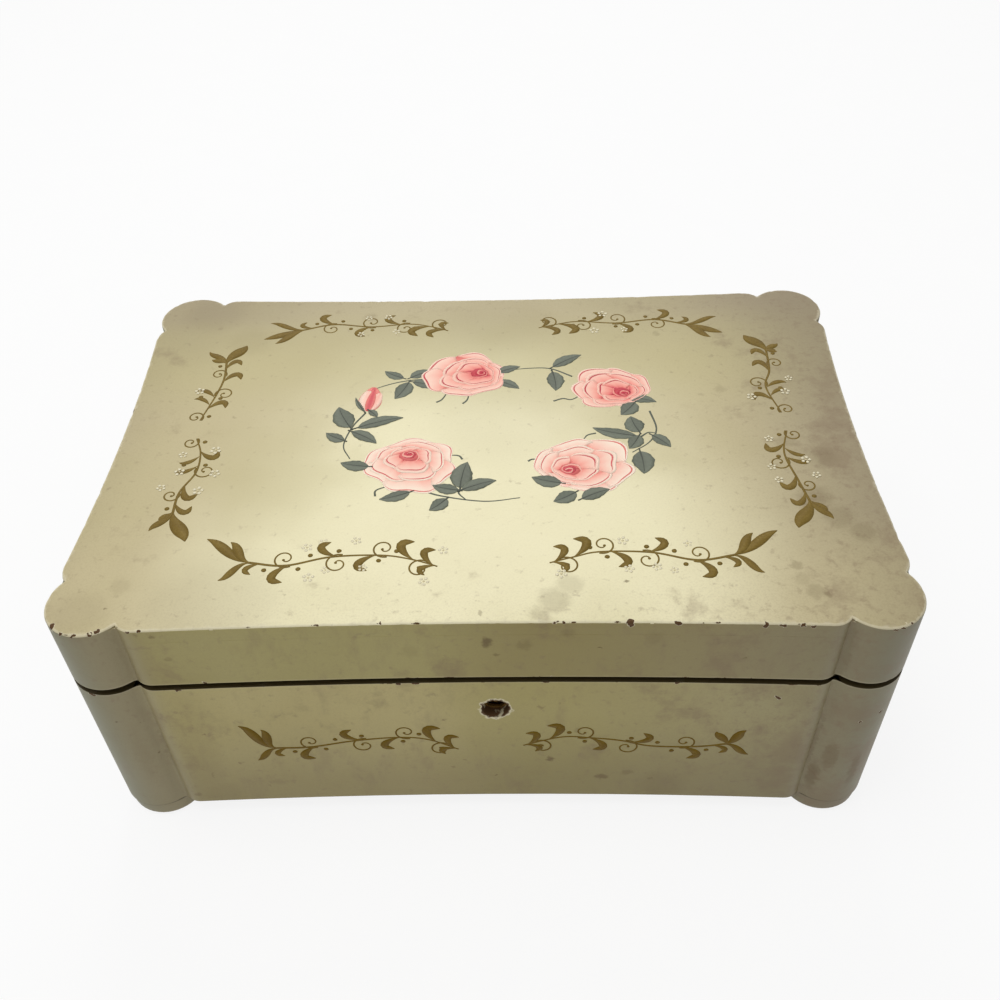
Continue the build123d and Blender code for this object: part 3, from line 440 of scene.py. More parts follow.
    def dirt(self, tree: ShaderTree, place: Value, patches: Value, freckles: Value, colour: Value) -> Value:
        """Lay grime over the margins and the right side, with a fine grain, and blotches on the walls.

        Args:
            tree: The lacquer's tree.
            place: Where on the box.
            patches: Noise for the dirty patches.
            freckles: Finer noise for the specks.
            colour: The clean paint's colour.

        Returns:
            The soiled colour.
        """
        x, y, z = tree.split(place)
        margin = (x.size() - 0.088).fade(0.0, 0.05).largest((y.size() - 0.052).fade(0.0, 0.045))
        right = x.fade(0.03, 0.12)
        dirty = (patches + margin * 0.1 + right * 0.1 - 0.64).fade(0.0, 0.17)
        colour = tree.mix(dirty * 0.42, colour, self.grime)
        speckled = (freckles + right * 0.06 + margin * 0.04).fade(0.6, 0.78)
        colour = tree.mix(speckled * 0.34, colour, self.grime)
        grain = tree.noise(place, 1500, 3, 0.7)
        colour = tree.mix(grain.fade(0.42, 0.7) * (0.05 + margin * 0.08 + right * 0.08), colour, self.grime)
        if self.wear is WearMap.HEIGHTS:
            runs = tree.streaks(place, (120.0, 120.0, 46.0), 4, 0.66)
            colour = tree.mix(runs.fade(0.5, 0.74) * 0.26, colour, self.grime)
        return colour

    def material(self) -> Material:
        """Build the lacquer.

        Returns:
            Its material.
        """
        tree = ShaderTree(self.name)
        place = tree.place()
        height = tree.split(place)[2]
        patches = tree.noise(place, 46, 5, 0.66)
        freckles = tree.noise(place, 300, 4, 0.62)
        colour = self.aging_and_shading(tree, place, tree.noise(place, 13, 3, 0.5))
        colour = self.dirt(tree, place, patches, freckles, colour)
        inputs = {"Vector": place, "Scale": 420.0, "Detail": 3.0}
        wobble = tree.node("ShaderNodeTexNoise", inputs=inputs, output=1)
        wobble = tree.vector("SUBTRACT", wobble, (0.5, 0.5, 0.5))
        warped = tree.vector("ADD", place, tree.vector("MULTIPLY", wobble, (0.004, 0.004, 0.004)))
        stained = self.spots(tree, warped, self.marks, self.stain_core)
        colour = tree.mix(stained, colour, self.stain)
        rim = self.rim(tree, height)
        # Rubbed edges: paler paint, partly real wear and partly a painted highlight along the edges.
        rubbed_and_highlit = (rim + (freckles - 0.5) * 1.2).fade(0.5, 0.95)
        colour = tree.mix(rubbed_and_highlit * self.rub_and_highlight, colour, self.rubbed_and_highlit)
        chipping = tree.noise(place, 190, 4, 0.65)
        chipped = (rim * 0.5 + chipping).fade(1.105, 1.135)
        broken = self.spots(tree, warped, self.bare, self.chip_core)
        rings = [replace(mark, radius=mark.radius * self.chip_ring, strength=0.7) for mark in self.bare]
        colour = tree.mix(self.spots(tree, warped, rings, self.chip_core), colour, self.rubbed_and_highlit)
        chipped = chipped.largest(broken)
        colour = tree.mix(chipped, colour, self.wood)
        # Painted shade in the groove under the lid and along the case's lower edge.
        for low, high, strength in self.shaded_seams:
            seam_shade = height.fade(low - self.seam_blur, low) * height.fade(high + self.seam_blur, high)
            colour = tree.mix(seam_shade * strength, colour, self.crevice_shade)
        scratches = tree.streaks(place, (60.0, 900.0, 300.0), 2, 0.5)
        relief = freckles * 0.6 + scratches.fade(0.62, 0.75) * -0.25 - chipped * 1.6
        rough = 0.36 + patches * 0.2 + rubbed_and_highlit * 0.12 + chipped * 0.3 + stained * 0.12
        normal = tree.bump(relief, 0.00012, 0.55)
        return tree.finish(base_color=colour, roughness=rough, normal=normal, specular_ior_level=0.42)


@dataclass(frozen=True)
class Paint:
    """Brushed paint whose colour follows the tone kept in the stroke, with streaks of the brush."""

    name: str
    stops: tuple[tuple[float, Colour], ...]
    streak: float = 0.12
    rough: float = 0.5
    gloss: float = 0.5

    def material(self) -> Material:
        """Build the paint.

        Returns:
            Its material.
        """
        tree = ShaderTree(self.name)
        place = tree.place()
        hairs = tree.noise(place, 1300, 3, 0.6)
        pools = tree.noise(place, 240, 2, 0.5)
        tone = tree.attribute("tone") + (hairs - 0.5) * self.streak + (pools - 0.5) * self.streak
        colour = tree.ramp(tone, self.stops)
        normal = tree.bump(hairs, 0.00004, 0.5)
        return tree.finish(base_color=colour, roughness=self.rough + pools * 0.12, normal=normal,
                           specular_ior_level=self.gloss)


@dataclass(frozen=True)
class Velvet:
    """Flocked or woven velvet: short nap brushed into patches, with a sheen."""

    name: str
    deep: Colour
    light: Colour
    worn: Colour

    def material(self) -> Material:
        """Build the velvet.

        Returns:
            Its material.
        """
        tree = ShaderTree(self.name)
        place = tree.place()
        brushed = tree.noise(place, 38, 4, 0.6)
        nap = tree.noise(place, 2600, 3, 0.7)
        lint = tree.noise(place, 700, 3, 0.6)
        colour = tree.mix(brushed.fade(0.35, 0.7), self.deep, self.light)
        colour = tree.mix(lint.fade(0.68, 0.8) * 0.4, colour, self.worn)
        colour = tree.mix(nap.fade(0.3, 0.75) * 0.35, colour, self.light)
        normal = tree.bump(nap + brushed * 0.6, 0.0003, 0.8)
        return tree.finish(base_color=colour, roughness=0.86 + nap * 0.1, normal=normal,
                           sheen_weight=0.55, sheen_roughness=0.4, sheen_tint=self.worn)


@dataclass(frozen=True)
class Satin:
    """Satin with fine threads that lighten it as a painted sheen, soft folds painted in tone between shade
    and light, and a silky gloss.
    """

    name: str
    shade: Colour
    light: Colour

    def material(self) -> Material:
        """Build the satin.

        Returns:
            Its material.
        """
        tree = ShaderTree(self.name)
        place = tree.place()
        threads = tree.streaks(place, (2600.0, 240.0, 240.0), 2, 0.5)
        folds = tree.noise(place, 26, 3, 0.5)
        # Painted shade and light: the fold noise mixes between the shade and light colours, and the threads
        # lighten it as a painted sheen.
        colour = tree.mix(folds.fade(0.3, 0.7), self.shade, self.light)
        colour = tree.mix(threads * 0.3, colour, self.light)
        normal = tree.bump(threads, 0.00005, 0.6)
        return tree.finish(base_color=colour, roughness=0.34 + threads * 0.14, normal=normal,
                           sheen_weight=0.3, sheen_roughness=0.35)


@dataclass(frozen=True)
class Metal:
    """Worked metal with tarnish in clouds, fine brushing and wear."""

    name: str
    bright: Colour
    tarnish: Colour
    rough: float = 0.3
    metallic: float = 1.0
    brushing: Triple = (300.0, 2400.0, 2400.0)

    def material(self) -> Material:
        """Build the metal.

        Returns:
            Its material.
        """
        tree = ShaderTree(self.name)
        place = tree.place()
        clouds = tree.noise(place, 120, 5, 0.6)
        lines = tree.streaks(place, self.brushing, 2, 0.5)
        pits = tree.noise(place, 1900, 2, 0.6).fade(0.66, 0.76)
        colour = tree.mix(clouds.fade(0.42, 0.72) * 0.75 + pits * 0.25, self.bright, self.tarnish)
        rough = self.rough + clouds * 0.16 + lines * 0.08 + pits * 0.2
        normal = tree.bump(lines * 0.6 - pits, 0.00003, 0.5)
        return tree.finish(base_color=colour, roughness=rough, metallic=self.metallic, normal=normal)


@dataclass(frozen=True)
class BareBoard:
    """Unfinished plywood: long grain on the face and plies along the edge."""

    name: str
    pale: Colour
    dark: Colour
    ply: float = 1.0

    def material(self) -> Material:
        """Build the board.

        Returns:
            Its material.
        """
        tree = ShaderTree(self.name)
        place = tree.place()
        height = tree.split(place)[2]
        grain = tree.streaks(place, (14.0, 260.0, 900.0), 6, 0.65)
        figure = tree.streaks(place, (6.0, 40.0, 10.0), 4, 0.6)
        plies = tree.node("ShaderNodeMath", {"operation": "SINE"}, {0: height * (TAU / (self.ply * MM))})
        shade = grain.fade(0.35, 0.7) * 0.55 + figure.fade(0.4, 0.65) * 0.35 + plies * 0.06
        colour = tree.mix(shade, self.pale, self.dark)
        normal = tree.bump(grain, 0.0002, 0.7)
        return tree.finish(base_color=colour, roughness=0.74 + grain * 0.14, normal=normal)


@dataclass(frozen=True)
class MirrorGlass:
    """Silvered glass with a few foxed spots."""

    name: str
    silver: Colour
    spot: Colour

    def material(self) -> Material:
        """Build the mirror.

        Returns:
            Its material.
        """
        tree = ShaderTree(self.name)
        place = tree.place()
        spots = (tree.noise(place, 420, 4, 0.7) + tree.noise(place, 18, 2, 0.5) * 0.25).fade(0.86, 0.93)
        haze = tree.noise(place, 30, 3, 0.5)
        colour = tree.mix(spots * 0.8, self.silver, self.spot)
        rough = 0.02 + haze * 0.03 + spots * 0.3
        return tree.finish(base_color=colour, metallic=1 - spots * 0.7, roughness=rough)


@dataclass(frozen=True)
class ClearSheet:
    """Clear acrylic with faint scratches."""

    name: str
    tint: Colour

    def material(self) -> Material:
        """Build the sheet.

        Returns:
            Its material.
        """
        tree = ShaderTree(self.name)
        place = tree.place()
        hairlines = tree.streaks(place, (90.0, 1200.0, 90.0), 3, 0.6).fade(0.6, 0.75)
        dust = tree.noise(place, 900, 3, 0.6).fade(0.62, 0.8)
        colour = tree.mix(dust * 0.06, self.tint, srgb(214, 214, 206))
        rough = 0.015 + hairlines * 0.03 + dust * 0.04
        return tree.finish(base_color=colour, roughness=rough, transmission_weight=1.0, ior=1.2)


Finish = Lacquer | Paint | Velvet | Satin | Metal | BareBoard | MirrorGlass | ClearSheet


@cache
def material_of(finish: Finish) -> Material:
    """Build a finish once and share its material."""
    return finish.material()


# Making pieces


def add_object(name: str, data: bpy.types.ID) -> Piece:
    """Put new data into the scene as an object."""
    made = bpy.data.objects.new(name, data)
    bpy.context.scene.collection.objects.link(made)
    return made


def mesh_of(name: str, bm: Mesh) -> bpy.types.Mesh:
    """Turn a bmesh into mesh data and free it."""
    mesh = bpy.data.meshes.new(name)
    bm.to_mesh(mesh)
    bm.free()
    return mesh


def add_cube(bm: Mesh, low: Vector, high: Vector) -> list[Vert]:
    """Add a cube stretched between two corners."""
    made = bmesh.ops.create_cube(bm, size=1.0)["verts"]
    bmesh.ops.scale(bm, vec=high - low, verts=made)
    bmesh.ops.translate(bm, vec=(low + high) / 2, verts=made)
    return made


def round_edges(bm: Mesh, edges: list[bmesh.types.BMEdge], radius: float, steps: int) -> dict:
    """Round some edges off and give back the bevel's result."""
    return bmesh.ops.bevel(bm, geom=edges, affect="EDGES", offset=radius, segments=steps, profile=0.5,
                           material=-1)


def wrap_up(name: str, bm: Mesh, finish: Finish, body: str,
            crease: float) -> Piece:
    """Turn a bmesh into a finished piece.

    Args:
        name: The piece's name.
        bm: Its mesh, freed here.
        finish: What it is finished in.
        body: The body it moves with.
        crease: Edges sharper than this many degrees stay sharp.

    Returns:
        The piece, at the origin and riding its body.
    """
    mesh = mesh_of(name, bm)
    mesh.shade_smooth()
    mesh.set_sharp_from_angle(angle=math.radians(crease))
    mesh.materials.append(material_of(finish))
    piece = add_object(name, mesh)
    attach(piece, body)
    log.info("%s on %s: %d faces", name, body, len(mesh.polygons))
    return piece


def dress(node: str, finish: Finish) -> None:
    """Give a carried-over node its finish."""
    for material_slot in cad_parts[node].material_slots:
        material_slot.material = material_of(finish)
    log.info("%s wears %s", node, finish.name)


def add_modifier(piece: Piece, kind: str, **settings: object) -> None:
    """Add one modifier with its settings."""
    modifier = piece.modifiers.new(kind.title(), kind)
    for key, value in settings.items():
        setattr(modifier, key, value)


def settle(piece: Piece) -> None:
    """Apply all modifiers of a piece to its mesh."""
    bpy.context.view_layer.update()
    shaped = piece.evaluated_get(bpy.context.evaluated_depsgraph_get())
    mesh = bpy.data.meshes.new_from_object(shaped)
    piece.modifiers.clear()
    piece.data = mesh


# Outline of the case and the lid


@dataclass(frozen=True)
class Side:
    """One bowed side of the plan, drawn along +X below the middle: a hollow arc between two shoulders."""

    notch_x: float
    notch_level: float
    shoulder_x: float
    shoulder_level: float
    waist_level: float

    def bow_radius(self) -> float:
        """Give the radius of the long hollow arc."""
        sag = self.shoulder_level - self.waist_level
        return (self.shoulder_x**2 + sag**2) / (2 * sag)

    def bow_centre(self) -> Vector:
        """Give the centre of the long hollow arc, which lies outside the box."""
        return Vector((0.0, -self.waist_level - self.bow_radius()))

    def level(self, x: float) -> float:
        """Give how far out the hollow arc lies at a place along the side."""
        centre = self.bow_centre()
        return -(centre.y + math.sqrt(self.bow_radius() ** 2 - x**2))

    def arcs(self) -> list[tuple[Vector, Vector, bool]]:
        """Give the arcs from the left notch to the right one.

        Returns:
            Each arc's centre, its end, and whether it bulges outwards.
        """
        notch = Vector((self.notch_x, -self.notch_level))
        shoulder = Vector((self.shoulder_x, -self.shoulder_level))
        bow = self.bow_centre()
        normal = (shoulder - bow).normalized()
        chord = notch - shoulder
        centre = shoulder + normal * (chord.length_squared / (2 * normal.dot(chord)))
        flipped = Vector((-centre.x, centre.y))
        return [
            (flipped, Vector((-shoulder.x, shoulder.y)), True),
            (bow, shoulder, False),
            (centre, notch, True),
        ]


@dataclass(frozen=True)
class Bend:
    """How a side is shaped, in metres: its notch's place along it, its shoulder's length and its drops."""

    notch: float
    shoulder: float
    shoulder_drop: float
    waist_drop: float


@dataclass(frozen=True)
class Outline:
    """The plan of the box, in metres: four bowed sides and four round lobes that meet in sharp notches."""

    half_width: float
    half_depth: float
    lobe_radius: float = 13.7 * MM
    front_bend: Bend = Bend(109.7 * MM, 5.7 * MM, 1.6 * MM, 3.8 * MM)
    flank_bend: Bend = Bend(67.3 * MM, 6.0 * MM, 1.0 * MM, 3.2 * MM)

    def lobe(self) -> Vector:
        """Give the centre of the back right lobe."""
        return Vector((self.half_width - self.lobe_radius, self.half_depth - self.lobe_radius))

    def side(self, bend: Bend, lobe: Vector, half: float) -> Side:
        """Work out one side, laid along X.

        Args:
            bend: How it is shaped.
            lobe: The centre of the lobe at its end, along the side and out from the middle.
            half: How far out the box reaches there.

        Returns:
            The side.
        """
        level = lobe.y + math.sqrt(self.lobe_radius**2 - (lobe.x - bend.notch) ** 2)
        return Side(bend.notch, level, bend.notch - bend.shoulder,
                    half - bend.shoulder_drop, half - bend.waist_drop)

    def front(self) -> Side:
        """Give the front side, which the back side repeats."""
        return self.side(self.front_bend, self.lobe(), self.half_depth)

    def flank(self) -> Side:
        """Give the right side, turned to lie along X, which the left side repeats."""
        return self.side(self.flank_bend, self.lobe().yx, self.half_width)

    def draw(self, bm: Mesh, z: float, step: float) -> list[Vert]:
        """Draw the outline as a closed loop of edges.

        Args:
            bm: The mesh to draw in.
            z: The height.
            step: The longest edge along an arc.

        Returns:
            The points in order, seen from above against the clock.
        """
        front, flank, lobe = self.front(), self.flank(), self.lobe()
        first = bm.verts.new((-front.notch_x, -front.notch_level, z))
        chain = [first]
        corners = [Vector((lobe.x, -lobe.y)), lobe, Vector((-lobe.x, lobe.y)), -lobe]
        for quarter, side in enumerate((front, flank, front, flank)):
            turn = Matrix.Rotation(quarter * math.pi / 2, 2)
            for centre, end, bulges in side.arcs():
                self.sweep(bm, chain, turn @ centre, turn @ end, bulges, step)
            following = (flank, front)[quarter % 2]
            next_turn = Matrix.Rotation((quarter + 1) * math.pi / 2, 2)
            start = next_turn @ Vector((-following.notch_x, -following.notch_level))
            self.sweep(bm, chain, corners[quarter], start, True, step)
        last = chain.pop()
        bmesh.ops.weld_verts(bm, targetmap={last: first})
        return chain

    def sweep(self, bm: Mesh, chain: list[Vert], centre: Vector, end: Vector,
              bulges: bool, step: float) -> None:
        """Spin the last point of a chain along an arc and add the new points to the chain.

        Args:
            bm: The mesh to draw in.
            chain: The points so far.
            centre: The arc's centre.
            end: Where it ends.
            bulges: Whether it bulges outwards.
            step: The longest edge along it.
        """
        start = chain[-1].co
        z = start.z
        before = Vector((start.x, start.y)) - centre
        after = end - centre
        angle = math.atan2(before.x * after.y - before.y * after.x, before.dot(after))
        if bulges and angle < 0:
            angle += TAU
        if not bulges and angle > 0:
            angle -= TAU
        steps = max(3, round(abs(angle) * before.length / step))
        known = len(bm.verts)
        cent = (centre.x, centre.y, z)
        bmesh.ops.spin(bm, geom=[chain[-1]], cent=cent, axis=(0, 0, 1), angle=angle, steps=steps)
        bm.verts.ensure_lookup_table()
        chain.extend(bm.verts[known:])


@dataclass(frozen=True)
class Level:
    """One level of a raised outline: its height, how far its edge is drawn in, and how rubbed it is, which
    also places a painted edge highlight.
    """

    z: float
    inset: float
    rim: float = 0.0


def outline_mesh() -> Mesh:
    """Start a mesh whose points keep their place on the outline, the way inwards and their wear, which also
    places a painted edge highlight.

    Returns:
        The empty mesh.
    """
    bm = bmesh.new()
    bm.verts.layers.float_vector.new("base")
    bm.verts.layers.float_vector.new("inward")
    bm.verts.layers.float.new("rim")
    return bm


def raise_outline(bm: Mesh, chain: Sequence[Vert], levels: Iterable[Level]) -> None:
    """Fill a closed loop and carry it up through its levels.

    Args:
        bm: The mesh that holds the loop, from outline_mesh.
        chain: The loop's points, against the clock.
        levels: The levels above the first one.
    """
    base = bm.verts.layers.float_vector["base"]
    inward = bm.verts.layers.float_vector["inward"]
    rim = bm.verts.layers.float["rim"]
    for index, vert in enumerate(chain):
        before = (vert.co - chain[index - 1].co).normalized()
        after = (chain[(index + 1) % len(chain)].co - vert.co).normalized()
        first, second = left_of(before), left_of(after)
        vert[base] = vert.co
        vert[inward] = (first + second) / (1 + first.dot(second))
    bottom = bmesh.ops.contextual_create(bm, geom=list(bm.edges))["faces"][0]
    top = bottom
    for level in levels:
        below = top
        made = bmesh.ops.extrude_face_region(bm, geom=[below])["geom"]
        top = next(item for item in made if isinstance(item, bmesh.types.BMFace))
        if below.is_valid and below is not bottom:
            bmesh.ops.delete(bm, geom=[below], context="FACES_ONLY")
        for vert in top.verts:
            vert.co = vert[base] + vert[inward] * level.inset
            vert.co.z = level.z
            vert[rim] = level.rim
    bmesh.ops.recalc_face_normals(bm, faces=bm.faces)


LID_CHIPS = chips(
    (22, -86.1, 103.1, 1.3, 1.0, 0.7), (25, -86.2, 102.9, 0.8), (44.4, -86.2, 103.0, 1.5, 1.0, 0.7),
    (58.5, -86.4, 103.0, 1.1, 1.0, 0.7), (-1.5, -86.0, 103.1, 0.7), (-30, -86.1, 103.0, 0.7),
    (84, -87.4, 102.9, 1.1, 1.0, 0.7), (88.6, -87.6, 102.7, 0.9), (94.6, -88.0, 102.8, 1.2, 1.0, 0.7),
    (97.6, -88.2, 102.7, 0.7), (109.8, -86.6, 103.0, 1.0), (-109.6, -86.6, 103.0, 0.8),
    (121, -89.5, 102.7, 1.0, 0.5), (124, -89.2, 102.6, 1.3, 0.4), (127, -87.9, 102.7, 1.0, 0.5),
    (-128.4, -85.6, 103.0, 1.1), (-125, -88.3, 102.8, 0.8), (-121.4, -89.4, 102.8, 1.2, 0.4),
    (-116.4, -88.6, 103.0, 1.0, 0.6), (-114.2, -88.0, 103.1, 0.8), (-105, -88.5, 102.7, 0.9, 0.6),
    (-101.6, -88.2, 102.8, 1.1, 0.4),
)
# In each lacquer below, the first four colours are painted light fading to painted shade, partly also
# aging.
IVORY_LID = Lacquer(
    "ivory_lacquer_lid", WearMap.RIM, srgb(239, 231, 190), srgb(196, 183, 142), srgb(165, 151, 119),
    srgb(140, 127, 100), srgb(188, 178, 124),
    marks=lid_stains(
        (116, -14, 7, 0.22), (109, -34, 8, 0.3), (115, -43, 7, 0.26), (121, -50, 6, 0.26),
        (104, -6, 5, 0.18), (22, -77, 7, 0.26), (27, -71, 6, 0.2), (17, -82, 4, 0.2), (44, -70, 0.9, 0.7),
        (98, -70, 4, 0.16), (101, -75, 4.5, 0.26), (-112, -70, 5, 0.12), (-60, -74, 1.0, 0.4),
        (-92, 12, 1.2, 0.35), (66, 60, 2.2, 0.2), (86, 24, 3.0, 0.2), (-48, 74, 4.0, 0.2),
        (0, -82, 1.2, 0.4), (-114, -79, 0.8, 0.6), (-111.6, -73.6, 0.5, 0.9), (-122, -81, 12, 0.14),
        (-94, -78, 13, 0.11), (-112, 78, 17, 0.13), (-94, 58, 12, 0.08), (97, -64, 2.4, 0.3),
        (104, -76, 1.6, 0.4), (-80, -77, 28, 0.15), (6, 71, 30, 0.09), (6, 10, 34, 0.08),
    ),
    bare=LID_CHIPS,
)
OLIVE_RAIL = Lacquer(
    "ivory_lacquer_rails", WearMap.HEIGHTS, srgb(170, 159, 101), srgb(152, 138, 82), srgb(146, 134, 94),
    srgb(118, 113, 88), srgb(152, 140, 84), edges=(0.0767, 0.1031), middle=(-55.0, -92.0),
    spread=(0.02, 0.07, 0.14), rub_and_highlight=0.14,
    marks=stains(
        (1.5, -86, 94, 2.2, 0.75, 1.5), (4, -86, 88, 1.4, 0.5), (13, -86, 92.5, 3.2, 0.3),
        (36, -86, 91, 0.6, 0.8), (-40, -86, 84, 0.7), (80, -87, 87, 1.0, 0.4), (-96, -88, 89, 1.6, 0.3),
        (100, -88, 82, 1.2, 0.45), (-22, -86, 90, 4.0, 0.12), (26, -86, 98, 3.0, 0.2),
        (52, -86, 96, 4.0, 0.14), (-103.4, -88.6, 101.4, 1.8, 0.5, 0.7), (-98.6, -88.2, 100.6, 1.5, 0.5),
        (-109.5, -86, 90, 2.6, 0.16, 14.0), (110, -86, 90, 2.6, 0.2, 14.0),
    ),
    bare=LID_CHIPS + chips((-22, -86, 76.6, 1.0, 0.5), (22, -86, 76.6, 1.3, 0.4), (-88, -87, 76.6, 1.0)),
)
OLIVE_CASE = Lacquer(
    "ivory_lacquer_case", WearMap.HEIGHTS, srgb(190, 176, 120), srgb(174, 162, 100), srgb(168, 157, 112),
    srgb(124, 118, 90), srgb(168, 154, 96), stain=srgb(102, 78, 44), edges=(0.0739,), middle=(-55.0, -92.0),
    # Painted shade towards the bottom of the case.
    spread=(0.02, 0.07, 0.14), rub_and_highlight=0.14, low_shade=0.5,
    # Painted shade in the groove under the lid and at the case's lower edge.
    shaded_seams=((0.0740, 0.0758, 1.0), (0.0070, 0.0074, 0.5)),
    marks=stains(
        (18, -86, 60, 1.3, 0.5), (-14, -86, 54, 0.9, 0.7), (39, -86, 19, 3.0, 0.6, 0.8),
        (48, -86, 22, 3.2, 0.32, 0.7), (56, -86, 18, 1.6, 0.45), (21, -86, 30, 2.0, 0.7),
        (24, -86, 63, 0.7, 0.5), (-8, -86, 30, 0.8), (2, -86, 20, 0.9), (-78, -87, 16, 1.2, 0.4),
        (66, -87, 60, 1.2, 0.35), (115, -88.6, 35, 3.4, 0.42, 3.4), (112, -87, 21, 3.4, 0.5, 3.2),
        (124.5, -88.6, 27, 2.6, 0.4, 5.0), (-120, -89.6, 59, 0.9), (-113.5, -88.2, 56, 0.9, 0.7),
        (-112, -87.3, 38, 0.8), (-94, -87.6, 49, 0.9), (-85, -87.3, 31, 1.2, 0.4),
        (-96, -87.6, 24, 0.8, 0.35, 4.0), (-109, -86, 40, 1.4, 0.24, 14.0),
        (109.5, -86, 40, 1.6, 0.34, 14.0), (130.5, 66, 40, 1.6, 0.25, 14.0),
        (-130.5, -66, 40, 1.6, 0.25, 14.0), (-104, -88, 12, 2.0, 0.4), (60, -87, 12, 2.4, 0.25),
        (-40, 87, 30, 2.0, 0.4), (-97, -88, 45, 9.0, 0.12, 5.0), (60, -87, 14, 12.0, 0.2),
        (30, -86, 47, 1.6, 0.3), (-95, -88, 12, 10.0, 0.14), (98, -88, 68, 9.0, 0.12),
        (-12, -86, 25, 1.2, 0.4), (-117, -88, 40, 4.0, 0.12, 6.0),
    ),
    bare=chips(
        (3.2, -86, 59.5, 5.2, 1.0, 14.0), (-22, -86, 73.9, 1.5, 0.5), (-27, -86, 73.9, 0.9),
        (19.5, -86, 73.9, 1.2, 0.5), (61, -86, 73.8, 1.4, 0.6), (56, -86, 71.0, 0.4),
        (121, -89.5, 56, 0.9), (127, -87.5, 59, 0.8), (93, -87.6, 67, 1.0), (-70, -86.5, 73.9, 1.1, 0.5),
        (-97, -88, 73.9, 1.2, 0.5), (-124, -89, 73.8, 1.5, 0.5),
    ),
)


@dataclass
class Shell:
    """The lacquered outside: the lid board with its rubbed edge, the coves, the feet and the walls."""

    outline: Outline
    edge_radius: float = 0.8 * MM
    paint_room: float = 0.2 * MM
    edge_steps: int = 4
    edge_step: float = 1.1 * MM
    worn_insets: tuple[Pair, ...] = ((1.4, 0.5), (2.4, 0.22), (4.5, 0.0))
    nick_rim: float = 0.55
    chip_depth: float = 0.44 * MM
    cove_reach: float = 2.6 * MM
    cove_rise: float = 0.42
    cove_hollow: float = 0.16
    cove_root: float = 0.12
    cove_feet: Pair = (0.2 * MM, 0.15 * MM)
    board_foot: float = 0.4 * MM
    groove: float = 2.6 * MM
    cove_steps: int = 5
    foot_round: float = 2.5 * MM
    foot_sides: int = 48

    def lid_top(self) -> float:
        """Give the height of the lid's painted face."""
        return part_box("lid_top_board")[1].z - self.paint_room

    def lid_levels(self, bottom: float, top: float) -> list[Level]:
        """List the levels of the lid board: a rounded upper edge, then fading wear over the top.

        Args:
            bottom: The board's underside.
            top: Its painted face.

        Returns:
            The levels, from below.
        """
        levels = [Level(bottom + self.board_foot, 0.0), Level(top - 4 * self.edge_radius, 0.0)]
        for step in range(self.edge_steps + 1):
            angle = step / self.edge_steps * math.pi / 2
            inset = self.edge_radius * (1 - math.cos(angle))
            rise = self.edge_radius * (1 - math.sin(angle))
            levels.append(Level(top - rise, inset, 0.6 + 0.4 * math.sin(2 * angle)))
        levels += [Level(top, inset * MM, rim) for inset, rim in self.worn_insets]
        return levels

    def build_lid_board(self) -> None:
        """Build the lid's top board, nicked along its upper edge."""
        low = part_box("lid_top_board")[0]
        bm = outline_mesh()
        chain = self.outline.draw(bm, low.z, self.edge_step)
        raise_outline(bm, chain, self.lid_levels(low.z, self.lid_top()))
        rim = bm.verts.layers.float["rim"]
        inward = bm.verts.layers.float_vector["inward"]
        for vert in bm.verts:
            if vert[rim] < self.nick_rim:
                continue
            nick = noise.noise(vert.co * 210) * 0.7 + noise.noise(vert.co * 640) * 0.5
            depth = max(0.0, nick - 0.12) * self.chip_depth
            vert.co += vert[inward] * depth
            vert.co.z -= depth * 0.6
        for face in bm.faces:
            face.normal_update()
            face.material_index = int(abs(face.normal.z) < 0.3)
        board = wrap_up("lid_board_lacquered", bm, IVORY_LID, "lid", 32)
        board.data.materials.append(material_of(OLIVE_RAIL))
        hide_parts("lid_top_board")

    def build_coves(self, name: str, finish: Finish, body: str, z_range: Pair) -> None:
        """Build the soft fillets of paint that fill the eight notches.

        Args:
            name: The piece's name.
            finish: What it is finished in.
            body: The body it moves with.
            z_range: The heights that it fills.
        """
        bm = bmesh.new()
        for signs in ((-1, -1), (-1, 1), (1, -1), (1, 1)):
            self.add_cove(bm, self.outline.front(), False, signs, z_range)
            self.add_cove(bm, self.outline.flank(), True, signs, z_range)
        bmesh.ops.recalc_face_normals(bm, faces=bm.faces)
        wrap_up(name, bm, finish, body, 50)

    def add_cove(self, bm: Mesh, side: Side, turned: bool, signs: Pair, z_range: Pair) -> None:
        """Add one upright cove, hollow in front and buried in the notch behind.

        Args:
            bm: The mesh to add it to.
            side: The side that ends in its notch.
            turned: Whether that side lies along Y.
            signs: Which quarter it goes to.
            z_range: Its heights.
        """
        lobe = self.outline.lobe().yx if turned else self.outline.lobe()
        notch = Vector((side.notch_x, side.notch_level))
        radial = (notch - lobe).normalized()
        along_lobe = Vector((radial.y, -radial.x))
        towards = (radial + along_lobe * self.cove_reach / self.outline.lobe_radius).normalized()
        on_lobe = lobe + towards * self.outline.lobe_radius
        on_side = notch + Vector((-1.0, self.cove_rise)) * self.cove_reach
        hollow = notch + (on_lobe + on_side - 2 * notch) * self.cove_hollow
        handles = [point.to_3d() for point in (on_lobe, hollow, hollow, on_side)]
        points = interpolate_bezier(*handles, self.cove_steps)
        inner = lobe * self.cove_root + notch * (1 - self.cove_root)
        points.append(inner.to_3d())
        if turned:
            points = [point.yxz for point in points]
        verts = [bm.verts.new((p.x * signs[0], p.y * signs[1], z_range[0])) for p in points]
        face = bm.faces.new(verts)
        made = bmesh.ops.extrude_face_region(bm, geom=[face])["geom"]
        risen = [item for item in made if isinstance(item, Vert)]
        bmesh.ops.translate(bm, vec=(0, 0, z_range[1] - z_range[0]), verts=risen)

